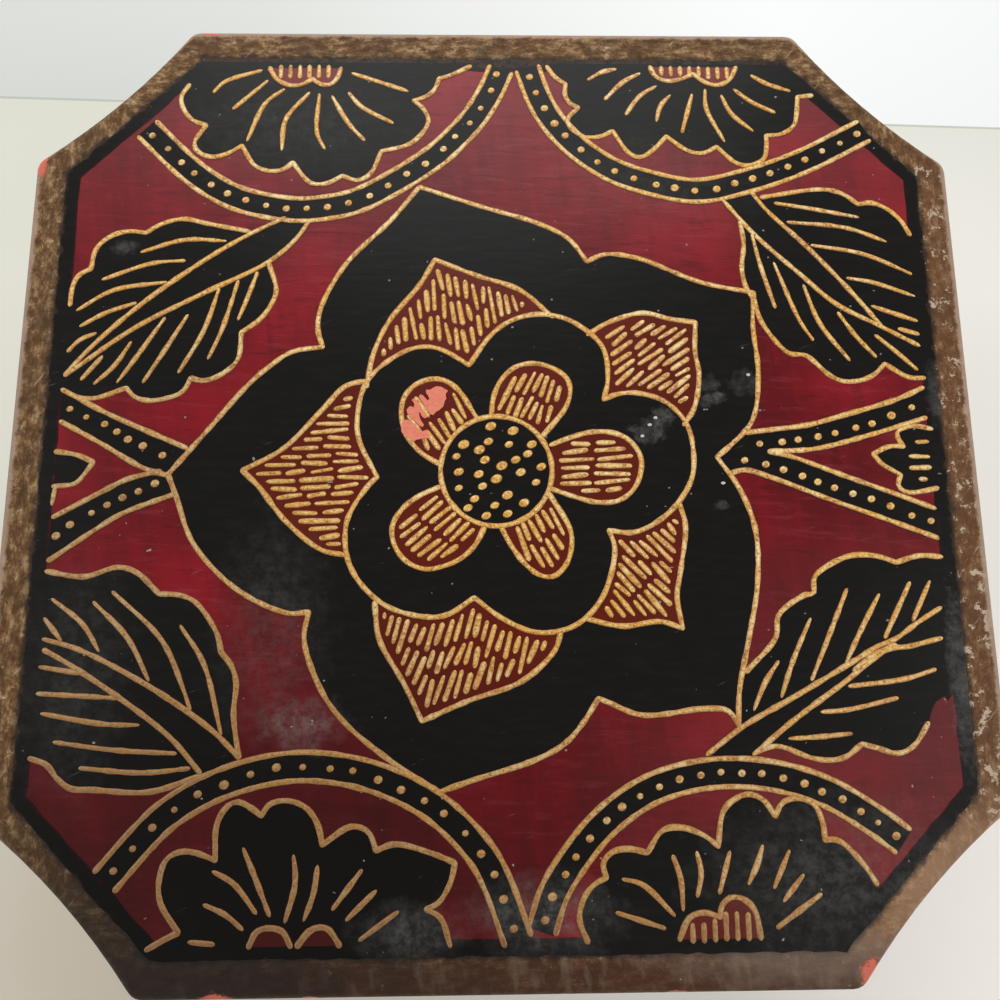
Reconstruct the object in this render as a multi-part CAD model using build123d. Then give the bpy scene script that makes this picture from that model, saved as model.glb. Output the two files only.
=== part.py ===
from build123d import *
import math
import os

# A wooden jewelry box: square in plan with its four corners cut off, a flat lid that overhangs the walls,
# and two small brass butt hinges let in along the back. Millimetres. The origin is at the centre of the
# underside, +Z is up, the front is -Y and the hinges are at +Y.

# Lid
lid_side = 161.5
lid_corner_cut = 26.0
lid_corner_scoop = 1.5
lid_outline_round = 3.0
lid_thickness = 11.0
lid_top_round = 1.6
lid_under_bevel = 0.8
lid_overhang = 8.0
lid_gap = 0.2

# Walls: eight mitred staves
wall_thickness = 8.0
wall_height = 58.0
wall_corner_round = 2.0
wall_top_bevel = 0.6

# Base board
base_thickness = 8.0
base_overhang = 3.5
base_corner_scoop = 1.0
base_outline_round = 3.0
base_top_round = 3.0
base_under_bevel = 0.8

# Nails that hold the base board to the walls
nail_shank_radius = 0.8
nail_head_radius = 1.3
nail_head_depth = 1.2
nail_length = 24.0
nail_point = 2.0
nail_sink = 0.3
wall_nail_count = 2
nail_end_margin = 22.0
nail_clearance = 0.03

# Hinges
hinge_length = 24.0
hinge_end_inset = 21.0
hinge_reach = 7.2
leaf_thickness = 1.0
leaf_gap = 0.3
pin_radius = 1.0
pin_clearance = 0.05
pin_end_dome = 0.6
knuckle_count = 3
knuckle_gap = 0.3
knuckle_wall_clearance = 0.3
hinge_end_clearance = 0.6
hinge_relief = 0.35

# Hinge screws
screw_shank_radius = 0.9
screw_head_radius = 1.7
screw_head_depth = 0.8
screw_length = 8.0
screw_point = 2.2
screw_slot_width = 0.45
screw_slot_depth = 0.35
screw_clearance = 0.03
screw_spacing = 14.0

# Lining and dividers
lining_thickness = 1.2
lining_top_margin = 3.0
lining_clearance = 0.3
floor_pad_thickness = 4.0
floor_pad_round = 1.2
lid_pad_thickness = 2.2
lid_pad_margin = 3.0
lid_pad_round = 0.9
divider_thickness = 4.0
divider_height = 28.0
divider_top_round = 1.4
divider_joint_clearance = 0.1
divider_end_clearance = 0.2

# Places worked out from the sizes above
wall_half = lid_side / 2 - lid_overhang
floor_level = base_thickness
wall_top = floor_level + wall_height
lid_under = wall_top + lid_gap
lid_top = lid_under + lid_thickness
knuckle_radius = pin_radius + pin_clearance + leaf_thickness
hinge_axis_y = wall_half + knuckle_radius + knuckle_wall_clearance
hinge_axis_z = wall_top + lid_gap / 2
leaf_start = knuckle_radius + knuckle_wall_clearance
screw_offset_y = (leaf_start + hinge_reach) / 2
divider_level = floor_level + floor_pad_thickness
cut_per_inset = 2 - math.sqrt(2)

WALL_NAMES = [
    "wall_front",
    "wall_corner_front_right",
    "wall_right",
    "wall_corner_back_right",
    "wall_back",
    "wall_corner_back_left",
    "wall_left",
    "wall_corner_front_left",
]


def inset_cut(distance):
    """The corner cut of an outline that lies this far inside the lid's, with its sides parallel to it."""
    return lid_corner_cut - distance * cut_per_inset


def octagon_corners(half, cut):
    """The eight corners, anticlockwise from the left end of the front side. Odd sides are the cut corners."""
    near = half - cut
    return [
        Vector(-near, -half),
        Vector(near, -half),
        Vector(half, -near),
        Vector(half, near),
        Vector(near, half),
        Vector(-near, half),
        Vector(-half, near),
        Vector(-half, -near),
    ]


def octagon_sides(half, cut):
    """Each side's two end points, in order, starting with the front."""
    corners = octagon_corners(half, cut)
    return list(zip(corners, corners[1:] + corners[:1]))


def octagon_prism(half, cut, height, level):
    """A straight-sided prism of that outline, standing on a level."""
    outline = make_face(Polyline(*octagon_corners(half, cut), close=True))
    return Pos(0, 0, level) * extrude(outline, height)


def scooped_board(half, cut, scoop, thickness, outline_round, top_round, under_bevel):
    """A board whose cut corners are hollowed a little, with softened edges, its underside at zero."""
    pieces = []
    for number, (start, end) in enumerate(octagon_sides(half, cut)):
        if number % 2:
            middle = (start + end) / 2
            pieces.append(ThreePointArc(start, middle - middle.normalized() * scoop, end))
        else:
            pieces.append(Line(start, end))
    board = extrude(make_face(Wire(pieces)), thickness)
    board = fillet(board.edges().filter_by(Axis.Z), outline_round)
    board = fillet(board.faces().sort_by(Axis.Z)[-1].edges(), top_round)
    return chamfer(board.faces().sort_by(Axis.Z)[0].edges(), under_bevel)


def revolved(profile):
    """A solid turned about the Z axis from a profile of (radius, height) points."""
    outline = make_face(Polyline(*[(radius, 0, height) for radius, height in profile], close=True))
    return revolve(outline, Axis.Z)


def screw_form(grow=0.0):
    """A countersunk wood screw's body, head up with its face at zero. grow makes the hole it fills."""
    shank = screw_shank_radius + grow
    head = screw_head_radius + grow
    return revolved(
        [
            (0, 0),
            (head, 0),
            (shank, -screw_head_depth),
            (shank, screw_point - screw_length),
            (0, -screw_length - grow),
        ]
    )


def wood_screw():
    slot = Pos(0, 0, -screw_slot_depth / 2) * Box(2 * screw_head_radius, screw_slot_width, screw_slot_depth)
    return screw_form() - slot


def nail_form(grow=0.0, sink=0.0):
    """A lost-head nail, point up, the face of its tapered head at zero. grow makes the hole that it fills,
    and sink carries that hole on past the head."""
    shank = nail_shank_radius + grow
    head = nail_head_radius + grow
    face = [(0, -sink), (head, -sink)]
    if sink:
        face.append((head, 0))
    shaft = [(shank, nail_head_depth), (shank, nail_length - nail_point), (0, nail_length + grow)]
    return revolved(face + shaft)


def nail_places():
    """Up through the base board into the middle of each long wall's thickness."""
    inset = lid_overhang + wall_thickness / 2
    places = []
    for start, end in octagon_sides(lid_side / 2 - inset, inset_cut(inset))[::2]:
        margin = nail_end_margin / (end - start).length
        step = (1 - 2 * margin) / (wall_nail_count - 1)
        for count in range(wall_nail_count):
            along = start + (end - start) * (margin + step * count)
            places.append(Pos(*along) * Pos(0, 0, nail_sink))
    return places


def hinge_centres():
    """Along X: each hinge keeps its distance from its end of the back wall."""
    wall_end = wall_half - inset_cut(lid_overhang)
    centre = wall_end - hinge_end_inset
    return [-centre, centre]


def screw_places(level, head_down):
    """Two screws through each leaf. head_down is for the lid's leaves, whose screws point up."""
    turn = Rot(180, 0, 0) if head_down else Rot(0, 0, 0)
    y = hinge_axis_y - screw_offset_y
    return [
        Pos(centre + side * screw_spacing / 2, y, level) * turn
        for centre in hinge_centres()
        for side in (-1, 1)
    ]


def hinge_leaf(side):
    """One leaf about its pin, which runs along X through the origin. side is 1 for the lid's leaf, which
    lies above the pin and has the even knuckles, and -1 for the box's leaf, below, with the odd ones."""
    inner_face = side * leaf_gap / 2
    middle = inner_face + side * leaf_thickness / 2
    plate_depth = hinge_reach - leaf_start
    leaf = Pos(0, -leaf_start - plate_depth / 2, middle) * Box(hinge_length, plate_depth, leaf_thickness)
    pitch = hinge_length / knuckle_count
    own = range(1, knuckle_count, 2) if side > 0 else range(0, knuckle_count, 2)
    for number in own:
        centre = -hinge_length / 2 + pitch * (number + 0.5)
        knuckle = Rot(0, 90, 0) * Cylinder(knuckle_radius, pitch - knuckle_gap)
        tab = Pos(0, -leaf_start / 2, middle) * Box(pitch - knuckle_gap, leaf_start, leaf_thickness)
        leaf += Pos(centre, 0, 0) * (knuckle + tab)
    return leaf - Rot(0, 90, 0) * Cylinder(pin_radius + pin_clearance, 2 * hinge_length)


def placed_leaf(side, centre):
    """A leaf at its hinge, with its two countersunk holes."""
    leaf = Pos(centre, hinge_axis_y, hinge_axis_z) * hinge_leaf(side)
    for place in screw_places(hinge_axis_z + side * leaf_gap / 2, head_down=side > 0):
        leaf -= place * screw_form(screw_clearance)
    return leaf


def hinge_pin():
    """A plain pin along Z whose two ends are domed a little past the knuckles."""
    half = hinge_length / 2
    tip = half + pin_end_dome
    curve = (pin_radius**2 + pin_end_dome**2) / (2 * pin_end_dome)
    middle = math.asin(pin_radius / curve) / 2
    over = (curve * math.sin(middle), tip - curve * (1 - math.cos(middle)))
    profile = Wire(
        [
            Line((0, 0, tip), (0, 0, -tip)),
            ThreePointArc((0, 0, -tip), (over[0], 0, -over[1]), (pin_radius, 0, -half)),
            Line((pin_radius, 0, -half), (pin_radius, 0, half)),
            ThreePointArc((pin_radius, 0, half), (over[0], 0, over[1]), (0, 0, tip)),
        ]
    )
    return revolve(make_face(profile), Axis.Z)


def knuckle_relief(centre):
    """The round-bottomed slot under the lid that the knuckles turn in."""
    radius = knuckle_radius + hinge_relief
    length = hinge_length + 2 * (pin_end_dome + hinge_end_clearance)
    return Pos(centre, hinge_axis_y, hinge_axis_z) * Rot(0, 90, 0) * Cylinder(radius, length)


def leaf_recess(centre, side):
    """The gain cut for a leaf, as deep as the leaf and open to the slot or to the wall's outer face."""
    depth = leaf_thickness + leaf_gap / 2
    near = hinge_axis_y - hinge_reach
    far = hinge_axis_y
    block = Box(hinge_length, far - near, depth)
    return Pos(centre, (near + far) / 2, hinge_axis_z + side * depth / 2) * block


def walls():
    """Eight staves, each mitred to its neighbours, eased along the outer corners."""
    outer_cut = inset_cut(lid_overhang)
    inner_cut = inset_cut(lid_overhang + wall_thickness)
    eased = octagon_prism(wall_half, outer_cut, wall_height, floor_level)
    eased = fillet(eased.edges().filter_by(Axis.Z), wall_corner_round)
    eased = chamfer(eased.faces().sort_by(Axis.Z)[-1].edges(), wall_top_bevel)
    outer = octagon_sides(wall_half, outer_cut)
    inner = octagon_sides(wall_half - wall_thickness, inner_cut)
    staves = {}
    for name, (a, b), (d, c) in zip(WALL_NAMES, outer, inner):
        stave = extrude(make_face(Polyline(a, b, c, d, close=True)), wall_height)
        staves[name] = Pos(0, 0, floor_level) * stave & eased
    for place in nail_places():
        for name in WALL_NAMES:
            staves[name] -= place * nail_form(nail_clearance)
    for centre in hinge_centres():
        staves["wall_back"] -= leaf_recess(centre, -1)
    for place in screw_places(hinge_axis_z - leaf_gap / 2, head_down=False):
        staves["wall_back"] -= place * screw_form(screw_clearance)
    return staves


def base_board():
    board = scooped_board(
        wall_half + base_overhang,
        inset_cut(lid_overhang - base_overhang),
        base_corner_scoop,
        base_thickness,
        base_outline_round,
        base_top_round,
        base_under_bevel,
    )
    # The heads are punched just below the surface, so each hole is open down to the underside.
    for place in nail_places():
        board -= place * nail_form(nail_clearance, nail_sink)
    return board


def lid_board():
    board = Pos(0, 0, lid_under) * scooped_board(
        lid_side / 2,
        lid_corner_cut,
        lid_corner_scoop,
        lid_thickness,
        lid_outline_round,
        lid_top_round,
        lid_under_bevel,
    )
    for centre in hinge_centres():
        board -= knuckle_relief(centre)
        board -= leaf_recess(centre, 1)
    for place in screw_places(hinge_axis_z + leaf_gap / 2, head_down=True):
        board -= place * screw_form(screw_clearance)
    return board


def wall_lining():
    """A band of velvet on card round the inside of the walls."""
    outside = lid_overhang + wall_thickness
    inside = outside + lining_thickness
    height = wall_height - lining_top_margin
    band = octagon_prism(lid_side / 2 - outside, inset_cut(outside), height, floor_level)
    return band - octagon_prism(lid_side / 2 - inside, inset_cut(inside), height, floor_level)


def floor_pad():
    inset = lid_overhang + wall_thickness + lining_thickness + lining_clearance
    pad = octagon_prism(lid_side / 2 - inset, inset_cut(inset), floor_pad_thickness, floor_level)
    return fillet(pad.faces().sort_by(Axis.Z)[-1].edges(), floor_pad_round)


def lid_pad():
    inset = lid_overhang + wall_thickness + lining_thickness + lid_pad_margin
    level = lid_under - lid_pad_thickness
    pad = octagon_prism(lid_side / 2 - inset, inset_cut(inset), lid_pad_thickness, level)
    return fillet(pad.faces().sort_by(Axis.Z)[0].edges(), lid_pad_round)


def divider(slot_side):
    """One of two crossing boards along X, its notch cut from the top (1) or from the bottom (-1)."""
    inset = lid_overhang + wall_thickness + lining_thickness + divider_end_clearance
    length = lid_side - 2 * inset
    board = Box(length, divider_thickness, divider_height)
    board = fillet(board.faces().sort_by(Axis.Z)[-1].edges().filter_by(Axis.X), divider_top_round)
    notch_width = divider_thickness + 2 * divider_joint_clearance
    notch_height = divider_height / 2 + divider_joint_clearance
    notch_centre = slot_side * (divider_height - notch_height) / 2
    board -= Pos(0, 0, notch_centre) * Box(notch_width, divider_thickness, notch_height)
    return Pos(0, 0, divider_level + divider_height / 2) * board


def save(name, shape):
    shape.label = name
    export_step(shape, f"parts/{name}.step")


def opening_limit():
    """The angle at which either corner of the bevel under the lid's overhang would meet the back wall."""
    room = hinge_axis_y - wall_half
    behind = lid_side / 2 - hinge_axis_y
    above = lid_under - hinge_axis_z
    angles = []
    for across, up in ((behind - lid_under_bevel, above), (behind, above + lid_under_bevel)):
        angles.append(math.atan2(up, across) + math.acos(-room / math.hypot(across, up)))
    return math.degrees(min(angles))


os.makedirs("parts", exist_ok=True)

for name, stave in walls().items():
    save(name, stave)
save("base_board", base_board())
save("base_nails", Compound(children=[place * nail_form() for place in nail_places()]))
save("wall_lining", wall_lining())
save("floor_pad", floor_pad())
save("divider_side_to_side", divider(1))
save("divider_front_to_back", Rot(0, 0, 90) * divider(-1))

for word, centre in zip(("left", "right"), hinge_centres()):
    save(f"hinge_{word}_box_leaf", placed_leaf(-1, centre))
    save(f"hinge_{word}_lid_leaf", placed_leaf(1, centre))
    save(f"hinge_{word}_pin", Pos(centre, hinge_axis_y, hinge_axis_z) * Rot(0, 90, 0) * hinge_pin())
box_screws = screw_places(hinge_axis_z - leaf_gap / 2, head_down=False)
lid_screws = screw_places(hinge_axis_z + leaf_gap / 2, head_down=True)
save("hinge_screws_box", Compound(children=[place * wood_screw() for place in box_screws]))
save("hinge_screws_lid", Compound(children=[place * wood_screw() for place in lid_screws]))

save("lid_board", lid_board())
save("lid_pad", lid_pad())

print(f"hinge axis at y {hinge_axis_y:.3f}, z {hinge_axis_z:.3f}, lid top at z {lid_top:.3f}")
print(f"the lid clears the back wall up to {opening_limit():.1f} degrees")
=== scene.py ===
from bisect import bisect_right
import math
import random

import bpy
from mathutils import Matrix, Vector, noise
from mathutils.geometry import tessellate_polygon


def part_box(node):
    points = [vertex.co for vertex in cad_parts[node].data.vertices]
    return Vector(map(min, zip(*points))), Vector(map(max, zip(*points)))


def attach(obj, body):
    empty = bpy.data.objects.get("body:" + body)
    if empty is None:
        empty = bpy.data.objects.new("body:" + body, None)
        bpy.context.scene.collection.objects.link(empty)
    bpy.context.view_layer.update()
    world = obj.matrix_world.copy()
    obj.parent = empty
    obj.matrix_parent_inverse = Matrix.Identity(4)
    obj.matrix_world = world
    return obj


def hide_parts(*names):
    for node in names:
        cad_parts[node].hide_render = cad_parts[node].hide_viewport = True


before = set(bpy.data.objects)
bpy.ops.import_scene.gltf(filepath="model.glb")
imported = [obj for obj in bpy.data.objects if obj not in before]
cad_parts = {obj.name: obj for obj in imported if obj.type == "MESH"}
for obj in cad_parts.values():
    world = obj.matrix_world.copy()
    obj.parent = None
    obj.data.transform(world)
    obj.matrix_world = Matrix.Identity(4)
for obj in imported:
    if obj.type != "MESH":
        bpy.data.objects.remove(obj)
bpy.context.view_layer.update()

bl_info = {
    "name": "Painted jewelry box",
    "version": (1, 0, 0),
    "blender": (4, 5, 0),
    "location": "3D View > Sidebar > Jewelry box",
    "description": "Paints, lines and lights the packed wooden jewelry box",
    "category": "Object",
}

MM = 0.001

# Heights of the paint above the wood, in millimetres. Each coat lies on the one before it, and its sides end
# under the wood's surface.
RED, BLACK, PETAL, INNER, SMALL = 0.06, 0.11, 0.16, 0.21, 0.26
UNDER = -0.05

# The lid's pattern, read off the photograph in millimetres from the lid's middle, x to the right and y to
# the back. An outline is a list of stretches, each drawn smooth; the pattern has a corner where one ends.
FLOWER = [
    [(-13.4, 49.8), (-2.6, 46.1), (7.5, 42.9), (12.7, 40)],
    [(15.7, 35.9), (18.7, 37.2), (24.3, 36.6), (35.3, 32.1)],
    [(44.4, 30.2), (43.9, 24.3), (44.3, 15.7), (42.8, 7.5), (38.7, 3.1)],
    [(36.5, 1.3), (40, -4.1), (42.2, -10.8), (42, -19.8), (40.2, -28), (38.1, -36.6)],
    [(37.7, -41.8), (36.2, -39.6), (32.7, -39.2), (22.4, -40.1), (17.2, -38.1)],
    [(15.7, -37.5), (12.7, -41.8), (10.1, -44.4), (5.6, -46.7), (-4.1, -49.6)],
    [(-9.3, -51.3), (-16.8, -46.7), (-24.3, -40.7), (-28, -35.8), (-30.9, -28)],
    [(-30.3, -23.7), (-33.5, -23.9), (-41.7, -20.2), (-49.2, -12.7), (-52.5, -4.8)],
    [(-54, -1.3), (-47.7, 6.4), (-41.7, 13.8), (-38.3, 17), (-34.6, 19.6)],
    [(-29.4, 20.5), (-30.3, 23.5), (-29.9, 27.5), (-25.8, 35.5), (-18.3, 43.5)],
]
INNER_FLOWER = [
    [(-4.7, 17.2), (-1.1, 22.4), (1.9, 24.8), (5.6, 26.1), (9.3, 26.1), (13.1, 24.8), (17.9, 20.5),
     (18.7, 14.9)],
    [(17.9, 11.2), (20.2, 12.1), (23.5, 12.3), (28.2, 10.8), (31.6, 7.1), (32.6, 2), (32, -2.6), (28.1, -8),
     (22.4, -11.2)], [(18.1, -10.9), (19, -13.8), (16.8, -21.6), (12.3, -26.1), (6.3, -27.2), (0.7, -25)],
    [(-3.9, -21.6), (-8.2, -24.3), (-11.9, -24.6), (-18.7, -22.4), (-23.9, -16.4), (-24.6, -9.3),
     (-21.3, -3.4)],
    [(-19.8, -1.9), (-22.8, 4.1), (-23.3, 7.8), (-21.7, 14.6), (-15.7, 19.6), (-11.9, 20.5), (-9, 19.8)],
]
# Each petal behind the inner flower: its outline, and the slope of its hatching in degrees.
HATCHED_PETALS = [
    ([[(-21.8, 13.5), (-20.9, 19), (-18.3, 25), (-13.1, 31.7)],
      [(-10.6, 36.2), (-3.7, 33.4), (4.1, 30.6), (9.5, 25.8)]], -82),
    ([[(15.5, 22.6), (18.7, 24.6), (25, 26.5), (29.7, 25.4)],
      [(34, 24.8), (33.7, 19.4), (34.2, 15.7), (33.1, 9.7), (31.2, 6.8)]], 38),
    ([[(29.9, -6.6), (30.7, -10.1), (29.5, -17.9), (28.8, -21.6)],
      [(29.5, -26.7), (26, -25.6), (19.8, -26.3), (13.8, -25)]], -48),
    ([[(10, -26.8), (9, -29.9), (3.7, -34.7), (-4.9, -37.7)],
      [(-12.1, -40.7), (-14.9, -35.1), (-19, -28), (-19.8, -22.3)]], 72),
    ([[(-24.4, -14.7), (-28.6, -13.8), (-34.6, -9), (-39.1, -3.4)],
      [(-41.9, -0.7), (-35.3, 3), (-29, 9.7), (-25.4, 13.6), (-21.5, 14.6)]], 3),
]
SMALL_PETALS = [
    ([(-1, 8.2), (-0.6, 11.6), (0.7, 14.6), (3, 16.8), (5.6, 17.5), (8.6, 17), (11.6, 15.1), (12.3, 13.1),
      (11.6, 10.1), (7.6, 5)], 66),
    ([(8.9, 3.4), (12.3, 4.7), (16, 5.6), (19.4, 5.4), (22, 4.1), (23.7, 1.5), (23.7, -1.1), (22.4, -4.1),
      (19.8, -6), (16, -6.2), (12.3, -5.2), (8.9, -4)], 3),
    ([(8.5, -4.9), (11.8, -10.8), (11.9, -13.8), (11, -16.4), (9, -18.3), (6.7, -18.1), (4.5, -16.4),
      (2.2, -13.4), (0.5, -10.2)], -66),
    ([(-2.1, -10), (-3.7, -13.1), (-6, -15.3), (-9, -16.6), (-11.9, -17), (-14.9, -15.7), (-16.8, -13.1),
      (-17.2, -10.1), (-15.7, -7.3), (-13.1, -5.2), (-9.6, -3.6)], 42),
    ([(-9.7, 0.3), (-12.7, 2.2), (-14.9, 4.9), (-15.9, 7.8), (-15.7, 11.2), (-14.2, 13.4), (-11.6, 14.7),
      (-9, 14.6), (-6.7, 13.1), (-3.4, 8)], -60),
]
DISC_CENTRE = (-0.2, -0.9)
DISC_RADIUS = 9.2
DISC_DOTS = [
    (-1.1, 6.6), (2.6, 5.8), (-5.6, 3.5), (-1.5, 4), (-3, 2.6), (1.9, 3.5), (5.7, 3.5), (-6.8, 1.5),
    (-2.1, 0.9), (5, 1.9), (3, 0.9), (0.7, -0.1), (-6.4, -1.1), (-3.1, -1.5), (3.8, -1.2), (7.2, -0.3),
    (-0.2, -2.3), (-6.4, -3.8), (-2.5, -3.5), (6.3, -2.9), (1.6, -5), (-3.8, -5.6), (4.3, -6.3), (-4.9, -7.1),
    (-0.5, -6.7), (-1.9, -8.4), (1.6, -8.1),
]
# Places where the red coat has flaked off one small petal.
PETAL_CHIPS = [
    [(-11.9, 12.9), (-11.3, 12.9), (-10.6, 13.3), (-10.1, 13.5), (-9.4, 13.4), (-8.7, 13), (-8.3, 12.7),
     (-8.6, 12.1), (-8.5, 11.4), (-8.8, 10.9), (-9, 9.9), (-9.6, 9.4), (-10.2, 9.1), (-10.6, 8.6),
     (-11.1, 8.7), (-11.8, 9.5), (-12.4, 10.5), (-12.8, 11.2), (-13, 11.7), (-12.9, 12.1), (-12.5, 12),
     (-12.1, 11.6), (-11.6, 11.1), (-11.3, 11.3), (-11.6, 11.9), (-11.9, 12.3)],
    [(-14.3, 11.1), (-14, 11.4), (-13.6, 11.2), (-12.9, 10.4), (-12.4, 9.3), (-11.8, 8.7), (-11.6, 8.3),
     (-12, 8), (-12.4, 8.2), (-12.9, 9), (-13.1, 8.9), (-13, 8.3), (-12.2, 6.9), (-12.4, 6.5), (-12.9, 6.7),
     (-13.9, 7.8), (-14.6, 8.3), (-15, 8.9), (-15.1, 9.5), (-14.8, 9.9), (-14.4, 10.1), (-13.9, 9.9),
     (-13.8, 10.5)],
    [(-15.7, 7.7), (-14.9, 7.7), (-14.4, 7.5), (-13.2, 6.4), (-12.4, 5.8), (-12, 6), (-11.7, 6), (-11.4, 5.6),
     (-11, 4.6), (-11.9, 4.5), (-12.9, 4.5), (-13.5, 4.4), (-13.8, 4), (-14.3, 4.2), (-14.8, 4.8),
     (-15.3, 5.1), (-15.8, 5.5), (-15.9, 6.1), (-15.9, 6.9)],
]
# Dotted arches across the corners: middle line and number of dots.
ARCHES = {
    "back_left": ([(-61.6, 60.9), (-53.8, 53.2), (-48.8, 49.5), (-44, 47.2), (-35.3, 45.5), (-30, 45.8),
                   (-25, 46.9), (-20.4, 49.1), (-10.8, 55.6), (-6.6, 59.8), (-3.8, 63.2), (-0.9, 68.2),
                   (1.1, 73)], 22),
    "back_right": ([(5.8, 73.2), (7.5, 67.9), (9.4, 63.8), (12.5, 59.6), (16.2, 56.1), (20.9, 53),
                    (26.5, 50.9), (35.3, 49.2), (44, 51), (54.2, 54.7), (66.3, 61)], 21),
    "front_left": ([(-59.8, -63.8), (-54, -57.1), (-50.8, -54.1), (-44, -50.2), (-35.2, -47.7), (-28, -47.4),
                    (-18.9, -49.2), (-9.9, -53.6), (-3.1, -60.1), (-0.7, -64.1), (2.7, -72.9)], 20),
    "front_right": ([(6.2, -71.5), (7.9, -66.6), (9.7, -63.5), (15.6, -56.5), (22.8, -51.6), (30, -49.4),
                     (37.2, -48.9), (44.3, -49.8), (51.2, -52.1), (58.5, -56.5), (62.4, -59.4)], 21),
}
# Dotted bands that meet the flower from the sides: upper line, lower line, dots.
SIDE_BANDS = {
    "left_upper": ([(-72.3, 13.1), (-65.2, 9.3), (-60.4, 7.1), (-51, 3)],
                   [(-72.4, 7.8), (-65.2, 3.9), (-58.1, -0.2), (-54, -1.5)],
                   [(-70.8, 9.8), (-68, 8.4), (-64.9, 7.2), (-62.8, 5.9), (-60.9, 4.6), (-58.4, 3.5),
                    (-55.1, 1.9)]),
    "left_lower": ([(-72.3, -8.4), (-64.1, -3.9), (-60.4, -2), (-55, -0.7)],
                   [(-72.4, -15.5), (-65.2, -10.4), (-61.1, -7.8), (-52.6, -4.5)],
                   [(-56, -2.8), (-58.6, -4.1), (-61.1, -5.1), (-63.5, -6.3), (-65.9, -7.6), (-69.2, -9.5),
                    (-71.3, -11.3)]),
    "right_upper": ([(41.4, 5.4), (46.5, 6), (52.1, 6.7), (57.7, 8.2), (67.8, 11.2), (72.5, 13.3)],
                    [(45, 2.2), (52.9, 2.6), (62.6, 5), (72.5, 8)],
                    [(43.8, 3.5), (47.6, 3.8), (50.3, 4.2), (53.7, 4.7), (56.6, 5.3), (60.2, 6.2), (63, 6.9),
                     (66.4, 8.3), (70, 9.7)]),
    "right_lower": ([(45, 2.2), (48.4, 1.5), (57.7, -2), (66.3, -5.2), (72.5, -7.6)],
                    [(38.4, -1.6), (40.9, -0.9), (45.4, -2.2), (55.1, -6), (64.1, -9.3), (72.5, -12.5)],
                    [(41.1, 0.7), (44.6, 0), (47.5, -0.9), (50.6, -2), (53.1, -3), (55.8, -4), (58.8, -5),
                     (61.8, -5.9), (64.9, -7.1), (68.3, -8.7), (71.4, -9.6)]),
}
# The black between the two right bands, where they meet the flower.
RIGHT_JOIN = [(36.5, 1.3), (41.4, 5.4), (46, 6), (48.4, 1.9), (45.4, -2.2), (40.9, -0.9), (38.4, -1.6)]
BUDS = {
    "left": ([[(-72.5, 2.6), (-69, 2)], [(-66.3, 0.8), (-67.4, -0.9), (-68.9, -2.7), (-72.4, -3.2)]],
             [[(-72.1, -3.3), (-72.4, -6.4)]]),
    "right": ([[(73, 6), (69.7, 6.5), (67.1, 5.4), (67.6, 3.6)], [(68, 3), (65.6, 3)],
               [(62.8, 1.7), (64.1, 0), (65.9, -1.1)],
               [(67.1, -1.9), (66.5, -3.7), (67.8, -4.8), (70, -4.7), (73, -4.1)]],
              [[(68.7, 1.3), (72.3, 1.2)], [(68.6, -0.7), (72.4, -0.6)], [(70, 3.7), (72.4, 3.8)],
               [(70, -2.6), (71.6, -2.6)]]),
}
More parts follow.
